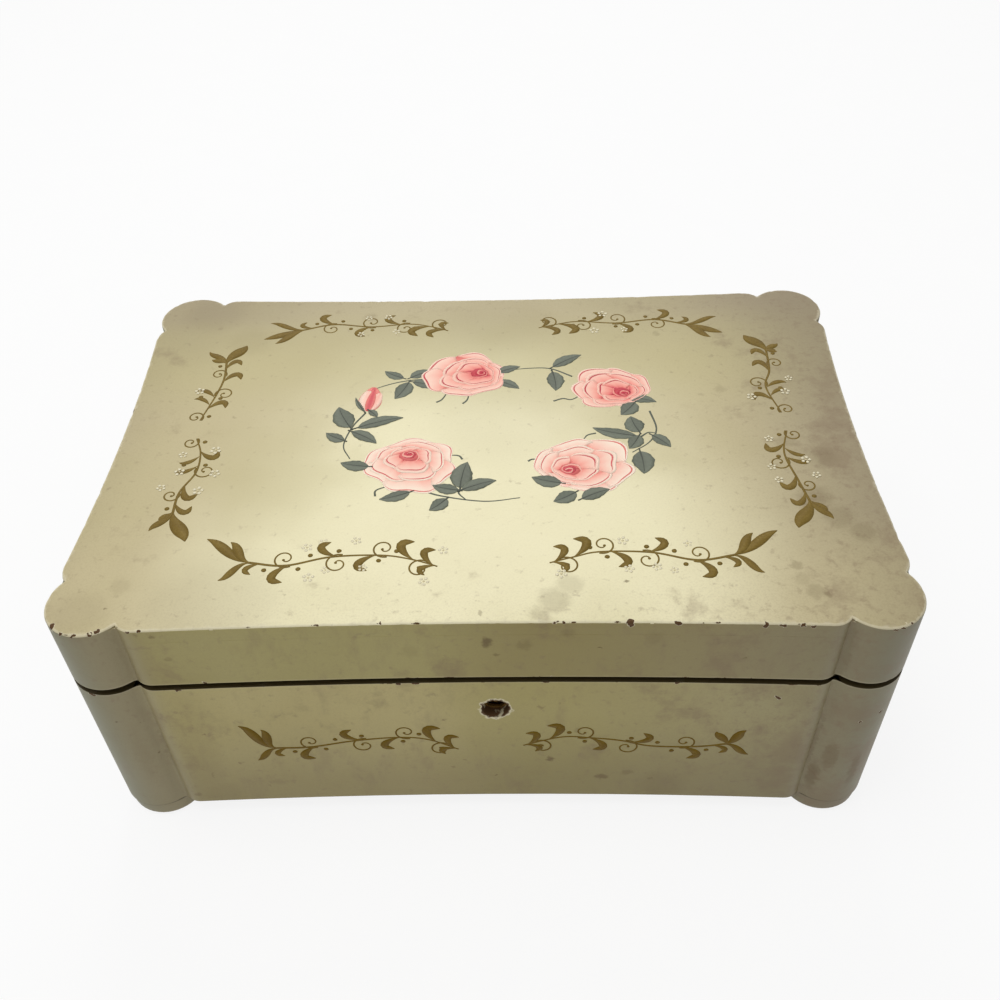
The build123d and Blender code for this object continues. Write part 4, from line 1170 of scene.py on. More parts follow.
    def build_feet(self) -> None:
        """Turn the four feet: a short round drum with a soft lower edge."""
        for node in [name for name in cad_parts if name.startswith("foot_")]:
            low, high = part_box(node)
            middle = (low + high) / 2
            radius = (high.x - low.x) / 2
            soft = self.foot_round
            bm = bmesh.new()
            points = [Vector((0, 0, low.z)), Vector((radius - soft, 0, low.z))]
            for step in range(1, 6):
                angle = step / 5 * math.pi / 2
                inset = soft * (1 - math.sin(angle))
                points.append(Vector((radius - inset, 0, low.z + soft * (1 - math.cos(angle)))))
            points += [Vector((radius, 0, high.z)), Vector((0, 0, high.z))]
            verts = [bm.verts.new(point + Vector((middle.x, middle.y, 0))) for point in points]
            edges = [bm.edges.new(pair) for pair in zip(verts, verts[1:])]
            bmesh.ops.spin(bm, geom=verts + edges, cent=middle, axis=(0, 0, 1), angle=TAU,
                           steps=self.foot_sides, use_merge=True)
            bmesh.ops.remove_doubles(bm, verts=bm.verts, dist=1e-6)
            bmesh.ops.recalc_face_normals(bm, faces=bm.faces)
            foot = wrap_up(f"{node}_turned", bm, OLIVE_CASE, "case", 40)
            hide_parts(node)

    def build(self) -> None:
        """Build the shell and dress the walls, with the coves a little short of the walls' own ends."""
        self.build_lid_board()
        panel_low, panel_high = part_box("case_front_panel")
        case_foot, lid_foot = self.cove_feet
        case_range = (panel_low.z + case_foot, panel_high.z - self.groove)
        self.build_coves("case_notch_coves", OLIVE_CASE, "case", case_range)
        lid_range = (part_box("lid_front_rail")[0].z + lid_foot, self.lid_top() - 1.1 * self.edge_radius)
        self.build_coves("lid_notch_coves", OLIVE_RAIL, "lid", lid_range)
        self.build_feet()
        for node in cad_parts:
            if node.endswith("_rail") or node.startswith("lid_post"):
                dress(node, OLIVE_RAIL)
            if node.endswith("_panel") or node.startswith("case_post"):
                dress(node, OLIVE_CASE)


# Painted decoration


@dataclass(frozen=True)
class Line:
    """A smooth line through a few points, in millimetres on the painted face."""

    points: tuple[Pair, ...]
    steps: int = 10

    @classmethod
    def bent(cls, *handles: Vector) -> "Line":
        """Make a line from a Bezier curve's four handles."""
        return cls(tuple((point.x, point.y) for point in interpolate_bezier(*handles, 7)), 2)

    @cached_property
    def samples(self) -> list[Vector]:
        """Give closely spaced places on the line."""
        knots = [flat(point) for point in self.points]
        knots = [2 * knots[0] - knots[1], *knots, 2 * knots[-1] - knots[-2]]
        found = [knots[1]]
        for before, start, end, after in zip(knots, knots[1:], knots[2:], knots[3:]):
            leaving, arriving = start + (end - before) / 6, end - (after - start) / 6
            found += interpolate_bezier(start, leaving, arriving, end, self.steps + 1)[1:]
        return found

    @cached_property
    def reach(self) -> list[float]:
        """Give the length up to each sample."""
        lengths = [0.0]
        for start, end in zip(self.samples, self.samples[1:]):
            lengths.append(lengths[-1] + (end - start).length)
        return lengths

    def at(self, share: float) -> Vector:
        """Give the place at a share of the length."""
        goal = min(max(share, 0.0), 1.0) * self.reach[-1]
        index = min(max(bisect_right(self.reach, goal) - 1, 0), len(self.samples) - 2)
        span = self.reach[index + 1] - self.reach[index]
        return self.samples[index].lerp(self.samples[index + 1], (goal - self.reach[index]) / span)

    def heading(self, share: float) -> Vector:
        """Give the direction of the line."""
        return (self.at(share + 0.02) - self.at(share - 0.02)).normalized()

    def side(self, share: float) -> Vector:
        """Give the direction to the left of the line."""
        return left_of(self.heading(share))


@dataclass(frozen=True)
class PaintedFace:
    """A face that is painted: how millimetres on it become a place, which way is out, and its body."""

    place: Shape
    outward: Vector
    body: str


class PaintLayer:
    """Strokes of one paint on one face, each a hair above the one before."""

    first_lift = 0.010 * MM
    stroke_lift = 0.0008 * MM
    thickness = 0.05 * MM

    def __init__(self, face: PaintedFace, lift: float = 0.0) -> None:
        """Start without strokes at a height above the face."""
        self.face = face
        self.bm = bmesh.new()
        self.tone = self.bm.verts.layers.float.new("tone")
        self.height = self.first_lift + lift

    def patch(self, shape: Shape, rows: int, columns: int, tone: Tone) -> None:
        """Lay one patch of paint.

        Args:
            shape: Gives the place on the face, in millimetres, for shares along and across.
            rows: Steps along.
            columns: Steps across.
            tone: Gives the paint's tone for shares along and across.
        """
        made = bmesh.ops.create_grid(self.bm, x_segments=rows, y_segments=columns, size=0.5)["verts"]
        for vert in made:
            along, across = vert.co.x + 0.5, vert.co.y + 0.5
            vert[self.tone] = tone(along, across)
            self.put(vert, shape(along, across))
        self.face_outwards(made)

    def dot(self, centre: Vector, radius: float, tone: float = 0.5, sides: int = 10) -> None:
        """Put down one slightly uneven dot.

        Args:
            centre: Its middle, in millimetres on the face.
            radius: Its radius in millimetres.
            tone: The paint's tone.
            sides: How many corners it has.
        """
        made = bmesh.ops.create_circle(self.bm, cap_ends=True, segments=sides, radius=radius)["verts"]
        for vert in made:
            vert[self.tone] = tone
            uneven = 1 + 0.12 * noise.noise(Vector((vert.co.x, vert.co.y, centre.x)) * 2)
            self.put(vert, centre + vert.co * uneven)
        self.face_outwards(made)

    def put(self, vert: Vert, spot: Vector) -> None:
        """Put a point on the face at the layer's height."""
        vert.co = self.face.place(spot.x, spot.y) + self.face.outward * self.height

    def face_outwards(self, verts: Sequence[Vert]) -> None:
        """Turn a patch so that it faces out, and go on a hair above it.

        Args:
            verts: The patch's points.
        """
        faces = list({face for vert in verts for face in vert.link_faces})
        total = Vector()
        for face in faces:
            face.normal_update()
            total += face.normal * face.calc_area()
        if total.dot(self.face.outward) < 0:
            bmesh.ops.reverse_faces(self.bm, faces=faces)
        self.rise(self.stroke_lift)

    def stroke(self, line: Line, width: Callable[[float], float], rows: int, columns: int = 2,
               tone: Tone = lambda along, across: 0.5) -> None:
        """Brush one stroke along a line.

        Args:
            line: The middle of the stroke.
            width: Its width, in millimetres, for a share of its length.
            rows: Steps along.
            columns: Steps across.
            tone: The paint's tone.
        """
        def shape(along: float, across: float) -> Vector:
            """Give a place on the stroke."""
            return line.at(along) + line.side(along) * ((across - 0.5) * width(along))

        self.patch(shape, rows, columns, tone)

    def rise(self, step: float = 0.0015 * MM) -> None:
        """Go on a little above what is painted."""
        self.height += step

    def dry(self, name: str, finish: Finish) -> Piece:
        """Turn the strokes into one thin piece."""
        piece = wrap_up(name, self.bm, finish, self.face.body, 60)
        add_modifier(piece, "SOLIDIFY", thickness=self.thickness, offset=-1.0, use_rim=True)
        return piece


class Ornament(Enum):
    """One kind of mark beside a stem."""

    COMMA = "comma"
    CRESCENT = "crescent"
    CURL = "curl"
    DOT = "dot"


@dataclass(frozen=True)
class Beside:
    """An ornament beside a stem: how far along, on which side (1 inner, -1 outer) and how large."""

    kind: Ornament
    share: float
    side: int
    size: float = 5.0


COMMA, CRESCENT, CURL, DOT = Ornament
LEAF_SHAPES = {
    COMMA: ((-0.6, 0.16), (-1.42, 0.84), (-0.36, 1.04), 0.44),
    CRESCENT: ((-0.3, 0.28), (-0.62, 0.72), (-0.36, 1.06), 0.28),
}
LONG_SPRAY = (
    (COMMA, 0.07, -1, 4.6), (DOT, 0.10, -1), (CURL, 0.22, 1, 1.0), (COMMA, 0.22, -1, 6.6),
    (DOT, 0.26, -1), (DOT, 0.335, 1), (COMMA, 0.47, 1, 6.2), (CURL, 0.49, -1, 1.06), (DOT, 0.475, 1),
    (COMMA, 0.67, -1, 6.4), (CURL, 0.72, 1, 1.0), (DOT, 0.685, -1), (DOT, 0.765, 1),
    (COMMA, 0.87, 1, 7.2), (CURL, 0.94, -1, 1.0), (COMMA, 0.98, 1, 6.0), (COMMA, 0.99, -1, 4.6),
)
SHORT_SPRAY = (
    (COMMA, 0.13, 1, 5.6), (DOT, 0.06, -1), (CURL, 0.24, -1, 0.8), (COMMA, 0.36, 1, 6.2),
    (CRESCENT, 0.62, -1, 7.6), (DOT, 0.63, -1, 7.0), (CRESCENT, 0.75, -1, 6.8), (CURL, 0.58, 1, 0.95),
    (DOT, 0.62, 1), (COMMA, 0.82, 1, 6.0), (DOT, 0.92, 1), (CURL, 0.99, -1, 0.8),
)


@dataclass(frozen=True)
class Spray:
    """A painted spray: a stem that thins out from its big leaves, with ornaments on both sides."""

    stem: Line
    inner: int
    tips: tuple[Pair, ...]
    ornaments: tuple[tuple, ...]
    leaf_widths: tuple[float, ...] = (3.6, 3.2, 2.6)
    flowers: tuple[float, ...] = ()
    curl_steps: int = 18

    def beside(self, share: float, side: int) -> Shape:
        """Give local axes at a place on the stem: x towards its thin end, y away from it."""
        origin, ahead = self.stem.at(share), self.stem.heading(share)
        away = self.stem.side(share) * (side * self.inner)
        return lambda x, y: origin + ahead * x + away * y

    def paint(self, layer: PaintLayer) -> None:
        """Paint the spray.

        Args:
            layer: The layer to paint on.
        """
        layer.stroke(self.stem, lambda share: 0.95 - 0.4 * share, 44)
        start = self.stem.at(0.0)
        for tip, width in zip(self.tips, self.leaf_widths):
            self.paint_leaf(layer, start, flat(tip), width)
        for row in self.ornaments:
            ornament = Beside(*row)
            local = self.beside(ornament.share, ornament.side)
            if ornament.kind in LEAF_SHAPES:
                self.paint_comma(layer, local, ornament.size, *LEAF_SHAPES[ornament.kind])
            elif ornament.kind is CURL:
                self.paint_curl(layer, local, ornament.size)
            else:
                layer.dot(local(0.0, 2.3 if ornament.size < 6 else ornament.size * 0.75), 0.85)

    def paint_leaf(self, layer: PaintLayer, root: Vector, tip: Vector, width: float) -> None:
        """Paint one long leaf at the outer end, bowed towards the stem's own direction.

        Args:
            layer: The layer to paint on.
            root: Its root.
            tip: Its tip.
            width: Its width in millimetres.
        """
        outwards = -self.stem.heading(0.0)
        reach = (tip - root).length
        late = tip - outwards * reach * 0.22 - (tip - root) * 0.12
        line = Line.bent(root - outwards * 1.2, root + outwards * reach * 0.34, late, tip)
        layer.stroke(line, lambda share: max(0.22, width * hump(share, 0.85, 1.35)), 14)

    def paint_comma(self, layer: PaintLayer, local: Shape, size: float, first: Pair,
                    second: Pair, tip: Pair, width: float) -> None:
        """Paint one comma-shaped leaf that leaves the stem backwards and turns away from it.

        Args:
            layer: The layer to paint on.
            local: Axes at its root.
            size: Its length in millimetres.
            first: Its first handle, as shares of the size.
            second: Its second handle.
            tip: Its tip.
            width: Its width as a share of the size.
        """
        handles = [local(0.0, 0.0)] + [local(x * size, y * size) for x, y in (first, second, tip)]
        line = Line.bent(*handles)
        layer.stroke(line, lambda share: max(0.2, width * size * hump(share, 0.85, 1.45)), 14)

    def paint_curl(self, layer: PaintLayer, local: Shape, size: float) -> None:
        """Paint one tendril: a spiral that leaves the stem and winds in to a small knob.

        Args:
            layer: The layer to paint on.
            local: Axes where it leaves the stem.
            size: Its size; at 1 its widest turn has a radius of about 4 millimetres.
        """
        points = []
        for step in range(self.curl_steps + 1):
            share = step / self.curl_steps
            angle = math.radians(-66 - 430 * share)
            radius = (3.27 * (1 - share) ** 0.8 + 0.62) * size
            spot = local(-1.3 * size + radius * math.cos(angle), 3.0 * size + radius * math.sin(angle))
            points.append((spot.x, spot.y))
        line = Line(tuple(points), 3)
        layer.stroke(line, lambda share: 0.64 - 0.16 * share, 40, 1)
        layer.dot(line.at(1.0), 0.5, sides=8)


@dataclass(frozen=True)
class Rose:
    """A full rose seen a little from one side: rings of petals about a heart that lies off the middle."""

    middle: Pair
    radii: Pair
    heart: Pair
    facing: float
    seed: int
    lightness: float = 0.0
    rings: tuple[tuple[float, ...], ...] = (
        (6, 0.62, 1.0, 0.4, 1.06, 0.93), (5, 0.4, 0.77, 0.26, 1.0, 0.88),
        (4, 0.16, 0.52, 0.14, 0.92, 0.86),
    )
    throats: tuple[Pair, ...] = ((0.2, 0.12), (0.13, 0.0))
    furls: tuple[tuple[float, ...], ...] = (
        (0.4, 4.2, 0.24, 0.15), (3.4, 4.4, 0.17, 0.08), (1.2, 3.6, 0.1, 0.04),
    )

    def edge(self, angle: float) -> Vector:
        """Give the outer edge in one direction."""
        bump = 1 + 0.05 * math.sin(3 * angle + self.seed) + 0.03 * math.sin(7 * angle + 2 * self.seed)
        return Vector((self.middle[0] + self.radii[0] * bump * math.cos(angle),
                       self.middle[1] + self.radii[1] * bump * math.sin(angle), 0.0))

    def polar(self, angle: float, reach: float) -> Vector:
        """Give a place by its direction from the heart and its share of the way to the edge."""
        heart = flat(self.heart)
        return heart + (self.edge(angle) - heart) * reach

    def paint(self, layer: PaintLayer) -> None:
        """Paint the rose from its outer petals inwards.

        Args:
            layer: The layer to paint on.
        """
        dice = random.Random(self.seed)
        layer.patch(lambda share, height: self.polar(TAU * share, 0.01 + 0.86 * height), 48, 3,
                    lambda share, height: 0.42 + self.lightness)
        layer.rise()
        for ring, (count, inner, outer, deep, pale, lip) in enumerate(self.rings):
            start = math.radians(self.facing) + ring * 0.9
            for index in range(count):
                middle = start + (index + dice.uniform(-0.14, 0.14)) * TAU / count
                half = TAU / count * dice.uniform(0.58, 0.7)
                rim = outer * dice.uniform(0.92, 1.04)
                tones = (deep + dice.uniform(-0.06, 0.06), pale)
                self.paint_petal(layer, middle, half, (inner, rim), tones, lip + dice.uniform(-0.05, 0.03))
                layer.rise()
        self.paint_heart(layer)

    def paint_petal(self, layer: PaintLayer, middle: float, half: float, reach: Pair,
                    tones: Pair, lip: float) -> None:
        """Paint one petal with its shaded base, its contour and its turned-back lip.

        Args:
            layer: The layer to paint on.
            middle: Its direction from the heart.
            half: Half the angle that it covers.
            reach: Where it starts and ends, as shares of the way to the edge.
            tones: Its tone at the base and at the rim.
            lip: Where its lip turns back, as a share of its height.
        """
        inner, outer = reach
        deep, pale = tones
        light = self.lightness

        def rim(share: float) -> float:
            """Give how far the petal reaches at a share of its width."""
            across = 2 * share - 1
            return outer * (1 - 0.13 * abs(across) ** 2.6 + 0.025 * math.sin(5 * across + middle))

        def spot(share: float, height: float) -> Vector:
            """Give a place on the petal."""
            across = 2 * share - 1
            angle = middle + across * half * (0.7 + 0.3 * height)
            return self.polar(angle, inner + (rim(share) - inner) * height)

        def tone(share: float, height: float) -> float:
            """Shade the petal from its base to its rim, darker where it folds under."""
            across = 2 * share - 1
            fold = 0.3 * max(0.0, across - 0.35) / 0.65 + 0.1 * max(0.0, -across - 0.6) / 0.4
            vein = 0.04 * math.sin(share * 21 + middle * 3) * (1 - height)
            return deep + (pale - deep) * height**0.62 - fold + vein + light

        layer.patch(spot, 12, 8, tone)
        layer.rise()

        def contour(share: float, height: float) -> Vector:
            """Give a place on the thin dark line under the lip."""
            return spot(0.04 + 0.92 * share, lip - 0.02 - 0.07 * height * hump(share))

        layer.patch(contour, 14, 1, lambda share, height: deep * 0.5 + 0.04 + light)
        layer.rise()

        def turned(share: float, height: float) -> Vector:
            """Give a place on the turned-back lip."""
            risen = lip + (1.02 - lip) * height * hump(share, 0.35)
            return spot(0.03 + 0.94 * share, risen - 0.02 * hump(share))

        layer.patch(turned, 14, 2, lambda share, height: pale - 0.16 + 0.2 * height + light)

    def paint_heart(self, layer: PaintLayer) -> None:
        """Paint the furled heart: a dark throat and three curled petal edges.

        Args:
            layer: The layer to paint on.
        """
        for reach, tone in self.throats:
            layer.patch(lambda share, height: self.polar(TAU * share, 0.01 + reach * height), 20, 2,
                        lambda share, height: tone + 0.1 * height + self.lightness)
            layer.rise()
        for start, span, first, last in self.furls:
            def swirl(share: float, height: float) -> Vector:
                """Give a place on the curled edge."""
                reach = first + (last - first) * share
                return self.polar(start + self.seed + span * share, reach - 0.05 * height * hump(share))

            layer.patch(swirl, 18, 2, lambda share, height: 0.72 - 0.4 * height + self.lightness)
            layer.rise()


@dataclass(frozen=True)
class Bud:
    """A closed rosebud: pale petals wrapped about deep pink ones."""

    base: Pair
    tip: Pair
    width: float
    petals: tuple[tuple[float, ...], ...] = (
        (0.06, 0.8, 1.0, 0.12, 0.4), (0.2, 0.62, 0.84, 0.62, 0.95), (-0.22, 0.5, 0.78, 0.5, 0.85),
        (0.02, 0.3, 0.92, 0.02, 0.3),
    )

    def paint(self, layer: PaintLayer) -> None:
        """Paint the bud.

        Args:
            layer: The layer to paint on.
        """
        base = flat(self.base)
        axis = flat(self.tip) - base
        side = left_of(axis).normalized()
        for offset, share, reach, deep, pale in self.petals:
            def spot(along: float, across: float) -> Vector:
                """Give a place on the petal."""
                swell = math.sin(math.pi * min(0.97, along**0.8 * 0.92 + 0.05)) ** 0.7
                middle = base + axis * (reach * along) + side * (offset * self.width * along)
                return middle + side * ((across - 0.5) * self.width * share * swell)

            layer.patch(spot, 10, 5,
                        lambda along, across: deep + (pale - deep) * abs(2 * across - 1) ** 0.8)
            layer.rise()


@dataclass(frozen=True)
class LeafSpec:
    """One rose leaf: root, tip and width in millimetres."""

    root: Pair
    tip: Pair
    width: float
    bow: float = 0.08

    def paint(self, layer: PaintLayer) -> None:
        """Paint the blade, its vein and its short stalk.

        Args:
            layer: The layer to paint on.
        """
        root, tip = flat(self.root), flat(self.tip)
        axis = tip - root
        bow = left_of(axis) * self.bow
        line = Line.bent(root, root + axis * 0.33 + bow, root + axis * 0.7 + bow, tip)

        def width(share: float) -> float:
            """Give the blade's width, slightly notched."""
            notches = 1 + 0.05 * math.sin(26 * share + self.root[0])
            return max(0.2, self.width * notches * hump(share, 0.85, 0.82))

        def tone(along: float, across: float) -> float:
            """Shade the blade's halves and its side veins."""
            half = 0.56 if across > 0.5 else 0.42
            return half + 0.1 * math.sin(30 * along + 14 * abs(across - 0.5)) * abs(across - 0.5) * 2

        layer.stroke(line, width, 14, 6, tone)
        layer.rise()
        vein = Line.bent(root - axis * 0.14, line.at(0.3), line.at(0.62), line.at(0.9))
        layer.stroke(vein, lambda share: 0.55 - 0.35 * share, 10, 1, lambda along, across: 0.05)
        layer.rise()


def flower(layer: PaintLayer, centre: Vector, size: float, turn: float) -> None:
    """Dab one small white flower: five petals about a pale eye.

    Args:
        layer: The layer to paint on.
        centre: Its middle.
        size: How far its petals lie from the middle, in millimetres.
        turn: The first petal's direction.
    """
    for petal in range(5):
        angle = turn + petal * TAU / 5
        layer.dot(centre + flat((math.cos(angle), math.sin(angle))) * size, size * 0.46, 0.85, 8)
    layer.dot(centre, size * 0.3, 0.3, 8)


UMBER = Paint("umber_brush", (
    (0.0, srgb(92, 70, 20)), (0.5, srgb(120, 98, 38)), (1.0, srgb(154, 132, 70))), 0.5, gloss=0.2)
DARK_UMBER = Paint("dark_umber_brush", (
    (0.0, srgb(88, 66, 10)), (0.5, srgb(114, 90, 22)), (1.0, srgb(140, 116, 48))), 0.5, gloss=0.12)
SAGE = Paint("sage_brush", (
    (0.0, srgb(50, 56, 44)), (0.4, srgb(88, 94, 78)), (0.6, srgb(104, 110, 93)),
    (1.0, srgb(134, 138, 116))), 0.16)
ROSE_PAINT = Paint("rose_brush", (
    (0.0, srgb(198, 48, 66)), (0.14, srgb(218, 88, 92)), (0.3, srgb(240, 134, 122)),
    (0.5, srgb(250, 170, 152)), (0.75, srgb(254, 206, 186)), (1.0, srgb(255, 236, 214))), 0.08)
CHALK = Paint("chalk_brush", (
    (0.0, srgb(206, 190, 140)), (0.5, srgb(226, 214, 176)), (1.0, srgb(238, 230, 200))), 0.4)


SIDE_WIDTHS = (5.0, 2.8, 2.8)
LID_SPRAYS = (
    Spray(Line(((-74, -60.5), (-62, -62), (-48, -58.5), (-32, -58), (-22, -60), (-14, -63))), 1,
          ((-89, -50), (-81, -51.5), (-82, -68)), LONG_SPRAY, flowers=(0.3, 0.42, 0.58, 0.95)),
    Spray(Line(((79, -59.5), (67, -61.5), (53, -58), (37, -57.5), (29, -59.5), (21, -62))), -1,
          ((94, -49), (86, -50), (87, -67)), LONG_SPRAY, flowers=(0.3, 0.42, 0.58, 0.95)),
    Spray(Line(((-74, 66), (-62, 69.5), (-47, 67.5), (-32, 69), (-23, 67), (-16, 64))), -1,
          ((-89, 60), (-84, 57), (-88, 71)), LONG_SPRAY, flowers=(0.4, 0.6)),
    Spray(Line(((78, 66), (66, 69.5), (51, 67.5), (36, 69), (28, 67.5), (20, 65))), 1,
          ((92, 60), (87, 57), (91, 71)), LONG_SPRAY, flowers=(0.4, 0.6)),
    Spray(Line(((-103, -38), (-103, -28), (-99.5, -18), (-100, -8), (-103, 0))), -1,
          ((-96, -51), (-107, -41), (-109, -46)), SHORT_SPRAY, SIDE_WIDTHS, (0.3, 0.5, 0.8)),
    Spray(Line(((-101, 45), (-100, 35), (-101, 25), (-104, 10))), 1,
          ((-95, 56), (-109, 52), (-107, 47)), SHORT_SPRAY, SIDE_WIDTHS, (0.5,)),
    Spray(Line(((107, -36), (105, -25), (103, -12), (106, 0))), 1,
          ((101, -48), (112, -40), (113, -44)), SHORT_SPRAY, SIDE_WIDTHS, (0.3, 0.5, 0.8)),
    Spray(Line(((107, 48), (106, 35), (103, 25), (106, 10))), -1,
          ((100, 58), (112, 52), (111, 47)), SHORT_SPRAY, SIDE_WIDTHS, (0.4, 0.7)),
)
CASE_SPRAYS = (
    Spray(Line(((-72, 32), (-60, 32), (-45, 35), (-30, 36.5), (-20, 35), (-10, 29))), 1,
          ((-82, 45.5), (-75, 43), (-79, 25)), LONG_SPRAY),
    Spray(Line(((80, 33), (70, 31), (55, 31), (45, 34), (35, 35.5), (25, 36), (12, 31))), -1,
          ((85.5, 41), (76, 40), (88, 27)), LONG_SPRAY),
)
WREATH_LEAVES = (
    ((-31.5, 33.5), (-39, 38), 4.4), ((-29, 33.5), (-21, 38), 4.8), ((-28, 31), (-17, 27), 5.6),
    ((-29.5, 31), (-34, 21), 6.6), ((4, 36), (12.5, 39.5), 4.4), ((4, 31), (12, 26), 4.4),
    ((25, 39), (36, 46.5), 5.4), ((24.5, 36), (25.5, 24.5), 6.4), ((51, 20), (62, 17), 5.0),
    ((54, 17), (48.5, 10), 6.6), ((53, -1.5), (38, 3), 5.4), ((54.5, 0.3), (52, 9), 7.2),
    ((54, -1.5), (50, -8.5), 5.6), ((58.5, -1.5), (64.5, -8), 4.8), ((53.5, -10), (54, -21.5), 7.8),
    ((26, -25.5), (16, -22.5), 5.8), ((30.5, -30), (23, -34.5), 5.8), ((32.5, -33.5), (42, -29), 5.4),
    ((-40, -16), (-50, -14), 5.4), ((-25, -29), (-35, -32.5), 4.8), ((-8, -27.5), (-6, -14.5), 7.6),
    ((-8.5, -28.5), (-17.5, -26), 5.0), ((-7.5, -28.5), (4, -24), 5.4), ((-12.5, -32.5), (-18, -38), 5.4),
    ((-48.5, 5), (-54, 16.5), 7.8), ((-46, 4.5), (-30, 10), 5.4), ((-50, -2.2), (-57, 2), 4.6),
    ((-48, 2.5), (-38.5, -4), 5.0), ((-43, 14.5), (-39.5, 10.5), 3.0), ((-44.5, 14), (-48.5, 22), 1.8),
)
WREATH_STEMS = (
    ((-20, 33), (-29, 32), (-36, 30), (-44, 26)), ((32, 33), (24, 38), (16, 38.5), (8, 37.5)),
    ((29, 30), (24, 37)), ((59, 12), (60.5, 2), (57.5, -5), (51, -10.5)),
    ((55, -2), (57.5, 0), (60.4, -0.5)), ((-23, -27), (-15, -31), (0, -34), (12, -32.5)),
    ((-8, -27.5), (-8.5, -30), (-6, -33.2)), ((-44, 13), (-48, 5), (-50, -5), (-47, -12)),
    ((-18.5, 18.6), (-16.4, 20.4), (-14.5, 25)), ((-8.8, 17.6), (-7.2, 19.8), (-6.4, 24)),
    ((-7.8, -13), (-9.4, -11), (-14, -10.8)), ((-36.5, -31), (-36.3, -28), (-31, -25.5)),
    ((39, 0), (36, -1), (34.5, -3.2)), ((49, -7), (45.5, -9.5)),
    ((14.8, -14.4), (16.6, -13.4), (21, -14)), ((24.5, 18.4), (28, 19.8), (31.2, 19.2), (35, 22)),
    ((-17.5, -25.5), (-16.5, -28)),
)
ROSES = (
    Rose((-8.5, 35), (15.5, 13.4), (-1.5, 36.0), 20, 3, -0.15),
    Rose((45, 26.5), (15.2, 12.8), (51, 22.0), 70, 8, -0.16),
    Rose((34.2, -16), (17.2, 14), (28, -19.5), 40, 5),
    Rose((-25.6, -15.6), (16.8, 13.6), (-26.5, -9.6), 100, 11),
)
BUD = Bud((-43.5, 14.0), (-41.5, 28), 11.0)


@dataclass
class Decoration:
    """All the painting on the box: sprays round the lid and on the case front, and the wreath of roses."""

    shell: Shell
    spray_lift: float = 0.006 * MM
    rose_lift: float = 0.02 * MM
    bow_lift: float = 0.045 * MM

    def lid_face(self) -> PaintedFace:
        """Give the lid's painted top, seen from above."""
        top = self.shell.lid_top()
        return PaintedFace(lambda x, y: Vector((x * MM, y * MM, top)), Vector((0, 0, 1)), "lid")

    def case_face(self) -> PaintedFace:
        """Give the case's bowed front, with heights from its lower edge.

        Returns:
            The face.
        """
        front = self.shell.outline.front()
        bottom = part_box("case_front_panel")[0].z

        def place(x: float, z: float) -> Vector:
            """Give a place on the front."""
            return Vector((x * MM, -front.level(x * MM), bottom + z * MM))

        return PaintedFace(place, Vector((0, -1, 0)), "case")

    def paint_sprays(self) -> None:
        """Paint the sprays and the pale flowers beside them."""
        white = PaintLayer(self.lid_face())
        dice = random.Random(5)
        for number, spray in enumerate(LID_SPRAYS):
            layer = PaintLayer(self.lid_face(), self.spray_lift)
            spray.paint(layer)
            layer.dry(f"lid_spray_{number + 1}", UMBER)
            for share in spray.flowers:
                for side, reach in ((1, dice.uniform(4.5, 7.0)), (-1, dice.uniform(5.0, 7.5))):
                    if dice.random() < 0.8:
                        centre = spray.beside(share, side)(dice.uniform(-2, 2), reach)
                        flower(white, centre, dice.uniform(1.0, 1.4), dice.uniform(0, TAU))
        white.dry("lid_white_flowers", CHALK)
        for number, spray in enumerate(CASE_SPRAYS):
            layer = PaintLayer(self.case_face(), self.bow_lift)
            spray.paint(layer)
            layer.dry(f"case_spray_{number + 1}", DARK_UMBER)

    def paint_wreath(self) -> None:
        """Paint the wreath of four roses and a bud with their leaves."""
        green = PaintLayer(self.lid_face())
        for points in WREATH_STEMS:
            green.stroke(Line(points), lambda share: 0.75 - 0.35 * share, 24, 1, lambda along, across: 0.3)
        for row in WREATH_LEAVES:
            LeafSpec(*row).paint(green)
        green.dry("wreath_leaves", SAGE)
        for number, rose in enumerate(ROSES):
            pink = PaintLayer(self.lid_face(), self.rose_lift)
            rose.paint(pink)
            pink.dry(f"wreath_rose_{number + 1}", ROSE_PAINT)
        bud = PaintLayer(self.lid_face(), self.rose_lift)
        BUD.paint(bud)
        bud.dry("wreath_bud", ROSE_PAINT)

    def build(self) -> None:
        """Paint everything."""
        self.paint_sprays()
        self.paint_wreath()


# Metalwork


